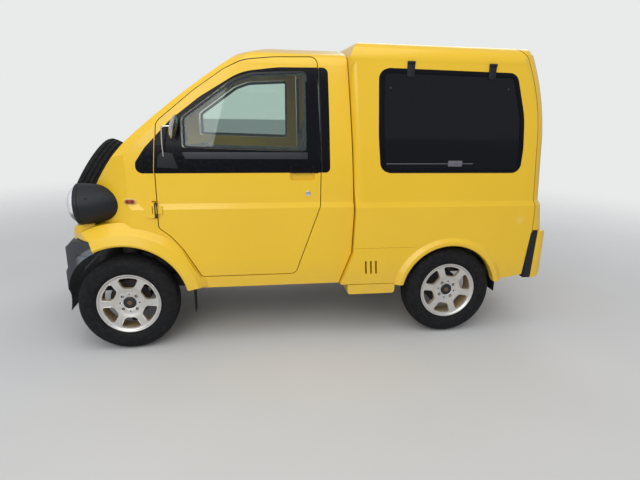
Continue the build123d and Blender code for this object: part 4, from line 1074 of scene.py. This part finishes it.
# Waist mouldings under the door glass, and lower hinge brackets.
# A satin black rubber-faced strip clipped along the foot of the window, and black pressed brackets
# ahead of the doors.
# They give the eye a softer grey-blue line over the gloss black, and an open black loop by the wing.
waist_face = finish("satin_waist_moulding")
place = add(waist_face, "ShaderNodeTexCoord", {})
cloud = add(waist_face, "ShaderNodeTexNoise", {"Vector": (place, "Object"), "Scale": 22.0, "Detail": 5.0})
tone = blend(waist_face, (cloud, "Fac"), "#1B1D24", "#252831")
surface(waist_face, {"Base Color": (tone, 2), "Roughness": 0.45})
band_tree = side_tree(["door_left", "door_band_left"])
bracket_tree = side_tree(["door_left", "cab_shell"])
for side, sign in (("left", 1), ("right", -1)):
    stations = [862 + 71 * index for index in range(10)]
    corners = [(x, 1054) for x in stations] + [(1516, 1088)] + [(x, 1090) for x in reversed(stations)]
    waist = prism("waist", corners, 0, 5)
    for point in waist.data.vertices:
        skin_y = side_y(band_tree, rear_x + point.co.x, point.co.z)
        point.co = (rear_x + point.co.x, skin_y + point.co.y, point.co.z)
    round_edges(waist, 2.2, 3, 50)
    smooth(waist, 40)
    wear(waist, waist_face)
    bracket_y = side_y(bracket_tree, rear_x + 1.661, 0.79)
    outer = prism("outer", [(1654, 749), (1669, 749), (1669, 830), (1654, 830)], -3, 7, 4)
    inner = prism("inner", [(1658, 756), (1665, 756), (1665, 823), (1658, 823)], -6, 12, 2)
    cut_with(outer, inner)
    outer.data.transform(Matrix.Translation((rear_x, bracket_y, 0)))
    round_edges(outer, 1, 2, 50)
    smooth(outer, 38)
    wear(outer, moulded)
    for piece, name, owner in (
        (waist, "waist_moulding", f"door_{side}"),
        (outer, "hinge_bracket", "body"),
    ):
        if sign < 0:
            piece.data.transform(to_right)
            piece.data.flip_normals()
        piece.name = f"{name}_{side}"
        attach(piece, owner)


# Spare wheel on the nose.
# A pressed steel wheel, silver painted, with round vents and a domed cap held by four bolts.
# It gives the eye a silver bowl ahead of the tyre and a bright spot of the cap past its edge.
silver = finish("silver_wheel_paint")
place = add(silver, "ShaderNodeTexCoord", {})
stain = add(silver, "ShaderNodeTexNoise", {"Vector": (place, "Object"), "Scale": 70.0, "Detail": 7.0})
old = add(silver, "ShaderNodeMapRange", {"Value": (stain, "Fac"), 1: 0.5, 2: 0.8, 3: 0.0, 4: 0.7})
tone = blend(silver, (old, "Result"), "#C4C6C6", "#8A7F6C")
surface(silver, {"Base Color": (tone, 2), "Metallic": 0.55, "Roughness": 0.38})
bowl = turned(
    "bowl",
    [
        (0, 57), (25, 57), (44, 54.5), (62, 50.5), (66, 46), (70, 36), (75, 31.5), (92, 33.5), (120, 27),
        (146, 17), (152, 22), (153, 40), (157, 46), (166, 53), (169.4, 57), (168, 58), (160, 56),
        (156.5, 50),
        (156.5, -46), (166, -53), (169.4, -57), (168, -58), (152, -57), (152, 4), (146, 9), (118, 18),
        (90, 24),
        (70, 23), (0, 23),
    ],
    96,
)
for index in range(12):
    hole = cylinder(20, 0.011, 0.12, lying)
    hole.data.transform(
        Matrix.Rotation(math.radians(30 * index), 4, "Y") @ Matrix.Translation((0.126, 0.03, 0))
    )
    cut_with(bowl, hole)
round_edges(bowl, 1.2, 2, 42)
smooth(bowl, 38)
wear(bowl, silver)
spare = copy_to(bowl, "spare_wheel_bowl", spare_seat)
bpy.data.objects.remove(bowl)
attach(spare, "body")
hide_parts("spare_rim")


# Steering wheel of the right-hand driver.
# A steel hoop moulded over in soft black plastic, on a padded two-bar centre and a steel column.
# It gives the eye a slim dark hoop low behind the glass.
hoop_line = [
    (180 + 13 * math.cos(math.radians(turn)), 14 * math.sin(math.radians(turn))) for turn in range(0, 360, 24)
]
hoop = turned("hoop", [*hoop_line, hoop_line[0]], 96)
pad = turned("pad", [(0, 22), (26, 21), (37, 17), (42, 9), (42, -18), (0, -18)], 48)
bars = prism(
    "bars", [(-176, -10), (-40, -17), (40, -17), (176, -10), (176, 10), (40, 17), (-40, 17), (-176, 10)],
    -7, 8,
)
round_edges(bars, 5, 3, 50)
shaft = turned("shaft", [(0, -10), (21, -10), (21, -396), (18, -399), (0, -399)], 36)
wheel_parts = joined([hoop, pad, bars, shaft], "steering_hoop")
smooth(wheel_parts, 38)
wear(wheel_parts, moulded)
hoop_axes = [Vector(axis).normalized() for axis in ((0, -1, 0), (-0.62, 0, 0.78), (0.78, 0, 0.62))]
to_world = Matrix(hoop_axes).transposed().to_4x4()
wheel_parts.data.transform(Matrix.Translation((rear_x + 1.33, -0.27, 0.955)) @ to_world)
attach(wheel_parts, "body")
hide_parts("steering_wheel")


# Two seats.
# Foam cushions and backrests covered in woven grey cloth, sewn in three panels with the cloth drawn
# down at the seams.
# They give the eye soft swelling panels, rounded edges and a faint weave.
cloth = finish("woven_seat_cloth")
place = add(cloth, "ShaderNodeTexCoord", {})
weave = add(cloth, "ShaderNodeTexWave", {"Vector": (place, "Object"), "Scale": 300.0})
cross = add(cloth, "ShaderNodeTexWave", {"Vector": (place, "Object"), "Scale": 300.0}, bands_direction="Y")
crossing = maths(cloth, "MULTIPLY", (weave, "Fac"), (cross, "Fac"))
tone = blend(cloth, (crossing, "Value"), "#3B3D42", "#5B5E64")
knit = add(cloth, "ShaderNodeBump", {"Height": (crossing, "Value"), "Strength": 0.3, "Distance": 0.0008})
surface(cloth, {"Base Color": (tone, 2), "Roughness": 0.9, "Sheen Weight": 0.3, "Normal": (knit, "Normal")})


def stuffed(piece, seams, still, most):
    """Swells a cover with air pressure, held at its seams, each point moved by at most so many mm."""
    pick(piece)
    piece.data.remesh_voxel_size = 0.011
    bpy.ops.object.voxel_remesh()
    held = piece.vertex_groups.new(name="held")
    for point in piece.data.vertices:
        if still(point.co) or any(abs(point.co.y - seam) < 0.007 for seam in seams):
            held.add([point.index], 1.0, "REPLACE")
    before = [point.co.copy() for point in piece.data.vertices]
    step = piece.modifiers.new("air", "CLOTH")
    step.settings.use_pressure = True
    step.settings.uniform_pressure_force = 4.0
    step.settings.effector_weights.gravity = 0.0
    step.settings.vertex_group_mass = "held"
    step.settings.quality = 4
    step.point_cache.frame_start = 1
    step.point_cache.frame_end = 20
    for moment in range(1, 21):
        bpy.context.scene.frame_set(moment)
    bpy.ops.object.modifier_apply(modifier=step.name)
    bpy.context.scene.frame_set(1)
    for point, first in zip(piece.data.vertices, before):
        move = point.co - first
        if move.length > most / 1000:
            point.co = first + move.normalized() * most / 1000


cushion = prism("cushion", [(1158, 650), (1170, 748), (700, 718), (700, 650)], -207, 207, 24)
round_edges(cushion, 16, 4, 50)
stuffed(cushion, (-0.075, 0.075), lambda spot: spot.z < 0.664, 10)
rest = prism(
    "rest", [(708, 742), (852, 752), (764, 1218), (750, 1246), (690, 1248), (678, 1222)], -197, 197, 20
)
round_edges(rest, 16, 4, 50)
stuffed(rest, (-0.075, 0.075), lambda spot: spot.z < 0.762 or spot.x < 0.69, 10)
pads = []
for part in (cushion, rest):
    step = part.modifiers.new("finer", "SUBSURF")
    step.levels = 1
    pick(part)
    bpy.ops.object.modifier_apply(modifier=step.name)
    smooth(part, 60)
    wear(part, cloth)
    for y in (0.27, -0.27):
        pads.append(copy_to(part, "pad", Matrix.Translation((rear_x, y, 0))))
    bpy.data.objects.remove(part)
pads = joined(pads, "padded_seats")
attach(pads, "body")
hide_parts("seats")


# Rear door fittings.
# A black moulded lift handle with its lock barrel under it, screwed on from inside.
# It gives the eye a small raised grip below the rear glass.
def rear_x_at(y, z):
    """How far back the tail lies at a place."""
    hit = tail_tree.ray_cast(Vector((-2.2, y, z)), Vector((1, 0, 0)))
    return hit[0].x


tail_tree = side_tree(["tailgate", "tailgate_glass"])
grip = prism("grip", [(-75, -17), (75, -17), (66, 17), (-66, 17)], 0, 20, 12)
grip_hollow = prism("grip_hollow", [(-58, -22), (58, -22), (58, -3), (-58, -3)], 4, 12, 5)
cut_with(grip, grip_hollow)
barrel = turned("barrel", [(0, 6), (8, 6), (10, 4.5), (10.5, -2), (0, -2)], 32)
barrel.data.transform(Matrix.Translation((0, 0, -0.042)))
grip = joined([grip, barrel], "grip")
round_edges(grip, 2, 3, 50)
smooth(grip, 38)
wear(grip, moulded)
grip.data.transform(
    Matrix.Translation((rear_x_at(0, 0.93) - 0.0005, 0, 0.93)) @ Matrix.Rotation(math.radians(90), 4, "Z")
)
grip.name = "tailgate_grip"
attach(grip, "tailgate")


# Rear door weather seals.
# Black hollow rubber pushed on the box's rear flange.
# It gives the eye a dark line in the gap round the rear door.
shut_line = [
    (-285, 1682), (-355, 1607), (-398, 1500), (-430, 1390), (-446, 1305), (-458, 1226), (-470, 1085),
    (-480, 942),
    (-487, 825), (-497, 785), (-503, 640),
]
gap_tree = side_tree(["cargo_box", "tailgate"])
corners = [(x + 1.5, z) for x, z in shut_line] + [(x - 1.5, z) for x, z in reversed(shut_line)]
strip = prism("strip", corners, -20, -1.2)
for point in strip.data.vertices:
    x, out, z = point.co
    around = [side_y(gap_tree, rear_x + x + ahead, z) for ahead in (-0.012, 0.012)]
    point.co = (rear_x + x, min(around) + out, z)
round_edges(strip, 0.4, 1, 60)
smooth(strip, 40)
wear(strip, seal_rubber)
weather = both(strip, "tailgate_weather_seals")
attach(weather, "body")


# Louvre inserts.
# Black moulded grids pushed into the three slots of each lower box side.
# They give the eye three black strokes.
louvre_tree = side_tree(["cargo_box"])
inserts = []
for x in (451, 481, 511):
    bar = prism("bar", [(-4.7, -39.6), (4.7, -39.6), (4.7, 39.6), (-4.7, 39.6)], -9, -1.5, 2)
    rib = prism("rib", [(-1.2, -36), (1.2, -36), (1.2, 36), (-1.2, 36)], -2, -0.6)
    bar = joined([bar, rib], "bar")
    out_y = side_y(louvre_tree, rear_x + (x + 12) / 1000, 0.437)
    bar.data.transform(
        Matrix.Translation((rear_x + x / 1000, out_y, 0.437)) @ Matrix.Rotation(math.radians(4), 4, "Y")
    )
    round_edges(bar, 0.5, 1, 50)
    smooth(bar, 40)
    wear(bar, moulded)
    inserts.append(bar)
grids = both(joined(inserts, "grids"), "louvre_inserts")
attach(grids, "body")


# Tail lamps.
# Red acrylic lenses let into the rear bumper. They give the eye a deep glossy red with fine ribs.
red = finish("red_acrylic")
place = add(red, "ShaderNodeTexCoord", {})
ribs = add(red, "ShaderNodeTexWave", {"Vector": (place, "Object"), "Scale": 60.0})
tone = blend(red, (ribs, "Fac"), "#8E1414", "#A61D1A")
surface(red, {"Base Color": (tone, 2), "Roughness": 0.2})
wear(nodes["tail_lamps"], red)


# Studio: a pale floor, a soft light above and the camera where the photograph was taken from.
floor_paint = finish("studio_floor")
place = add(floor_paint, "ShaderNodeTexCoord", {})
faint = add(floor_paint, "ShaderNodeTexNoise", {"Vector": (place, "Object"), "Scale": 1.5})
tone = blend(floor_paint, (faint, "Fac"), "#C9C9C7", "#D0D0CE")
skin = add(floor_paint, "ShaderNodeBsdfPrincipled", {"Base Color": (tone, 2), "Roughness": 0.9})
reach = add(floor_paint, "ShaderNodeVectorMath", {0: (place, "Object")}, operation="LENGTH")
far = add(
    floor_paint, "ShaderNodeMapRange", {"Value": (reach, "Value"), 1: 2.0, 2: 7.0},
    interpolation_type="SMOOTHSTEP",
)
ray = add(floor_paint, "ShaderNodeLightPath", {})
fade = maths(floor_paint, "MULTIPLY", (far, "Result"), (ray, "Is Camera Ray"))
open_air = add(floor_paint, "ShaderNodeBsdfTransparent", {})
ground = add(
    floor_paint, "ShaderNodeMixShader", {0: (fade, "Value"), 1: (skin, "BSDF"), 2: (open_air, "BSDF")}
)
add(floor_paint, "ShaderNodeOutputMaterial", {"Surface": (ground, "Shader")})
bpy.ops.object.select_all(action="DESELECT")
bpy.ops.mesh.primitive_plane_add(size=90)
floor = bpy.context.object
floor.name = "studio_floor"
wear(floor, floor_paint)
floor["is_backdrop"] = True

sky = bpy.data.worlds.new("studio_sky")
bpy.context.scene.world = sky
sky.use_nodes = True
sky.node_tree.nodes.clear()
ray = add(sky, "ShaderNodeLightPath", {})
seen = add(
    sky, "ShaderNodeMath", {0: (ray, "Is Camera Ray"), 1: (ray, "Is Transmission Ray")}, operation="MAXIMUM"
)
lit = add(sky, "ShaderNodeBackground", {"Color": linear("#F4F7FF"), "Strength": 0.58})
shown = add(sky, "ShaderNodeBackground", {"Color": linear("#E9EAEA"), "Strength": 1.0})
sky_mix = add(
    sky, "ShaderNodeMixShader", {0: (seen, "Value"), 1: (lit, "Background"), 2: (shown, "Background")}
)
add(sky, "ShaderNodeOutputWorld", {"Surface": (sky_mix, "Shader")})

for name, spot, aim, size, power in (
    ("softbox_above", (0.6, 2.2, 4.6), (0.0, 0.0, 0.8), 5.0, 98.0),
    ("softbox_side", (2.5, 6.0, 3.2), (0.0, 0.0, 0.8), 4.0, 120.0),
    ("softbox_back", (-3.0, -4.5, 4.0), (0.0, 0.0, 1.0), 4.0, 70.0),
):
    lamp_data = bpy.data.lights.new(name, "AREA")
    lamp_data.energy = power
    lamp_data.size = size
    lamp = bpy.data.objects.new(name, lamp_data)
    bpy.context.scene.collection.objects.link(lamp)
    lamp.location = spot
    lamp.rotation_euler = (Vector(aim) - Vector(spot)).to_track_quat("-Z", "Y").to_euler()

right = Vector((-0.98745, 0.15681, 0.01857))
up = Vector((-0.02443, -0.26786, 0.96315))
back = Vector((0.15600, 0.95062, 0.26833))
eye = Vector((0.3806, 3.1787, 1.3297))
camera_data = bpy.data.cameras.new("photo_camera")
camera_data.lens = 27.0
camera_data.sensor_width = 36.0
camera = bpy.data.objects.new("photo_camera", camera_data)
bpy.context.scene.collection.objects.link(camera)
turn = Matrix((right, up, back)).transposed().to_4x4()
camera.matrix_world = Matrix.Translation(eye) @ turn
bpy.context.scene.camera = camera
bpy.context.scene.view_settings.view_transform = "Standard"

corners = [[list(corner) for corner in cad_box], [list(corner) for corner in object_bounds()]]
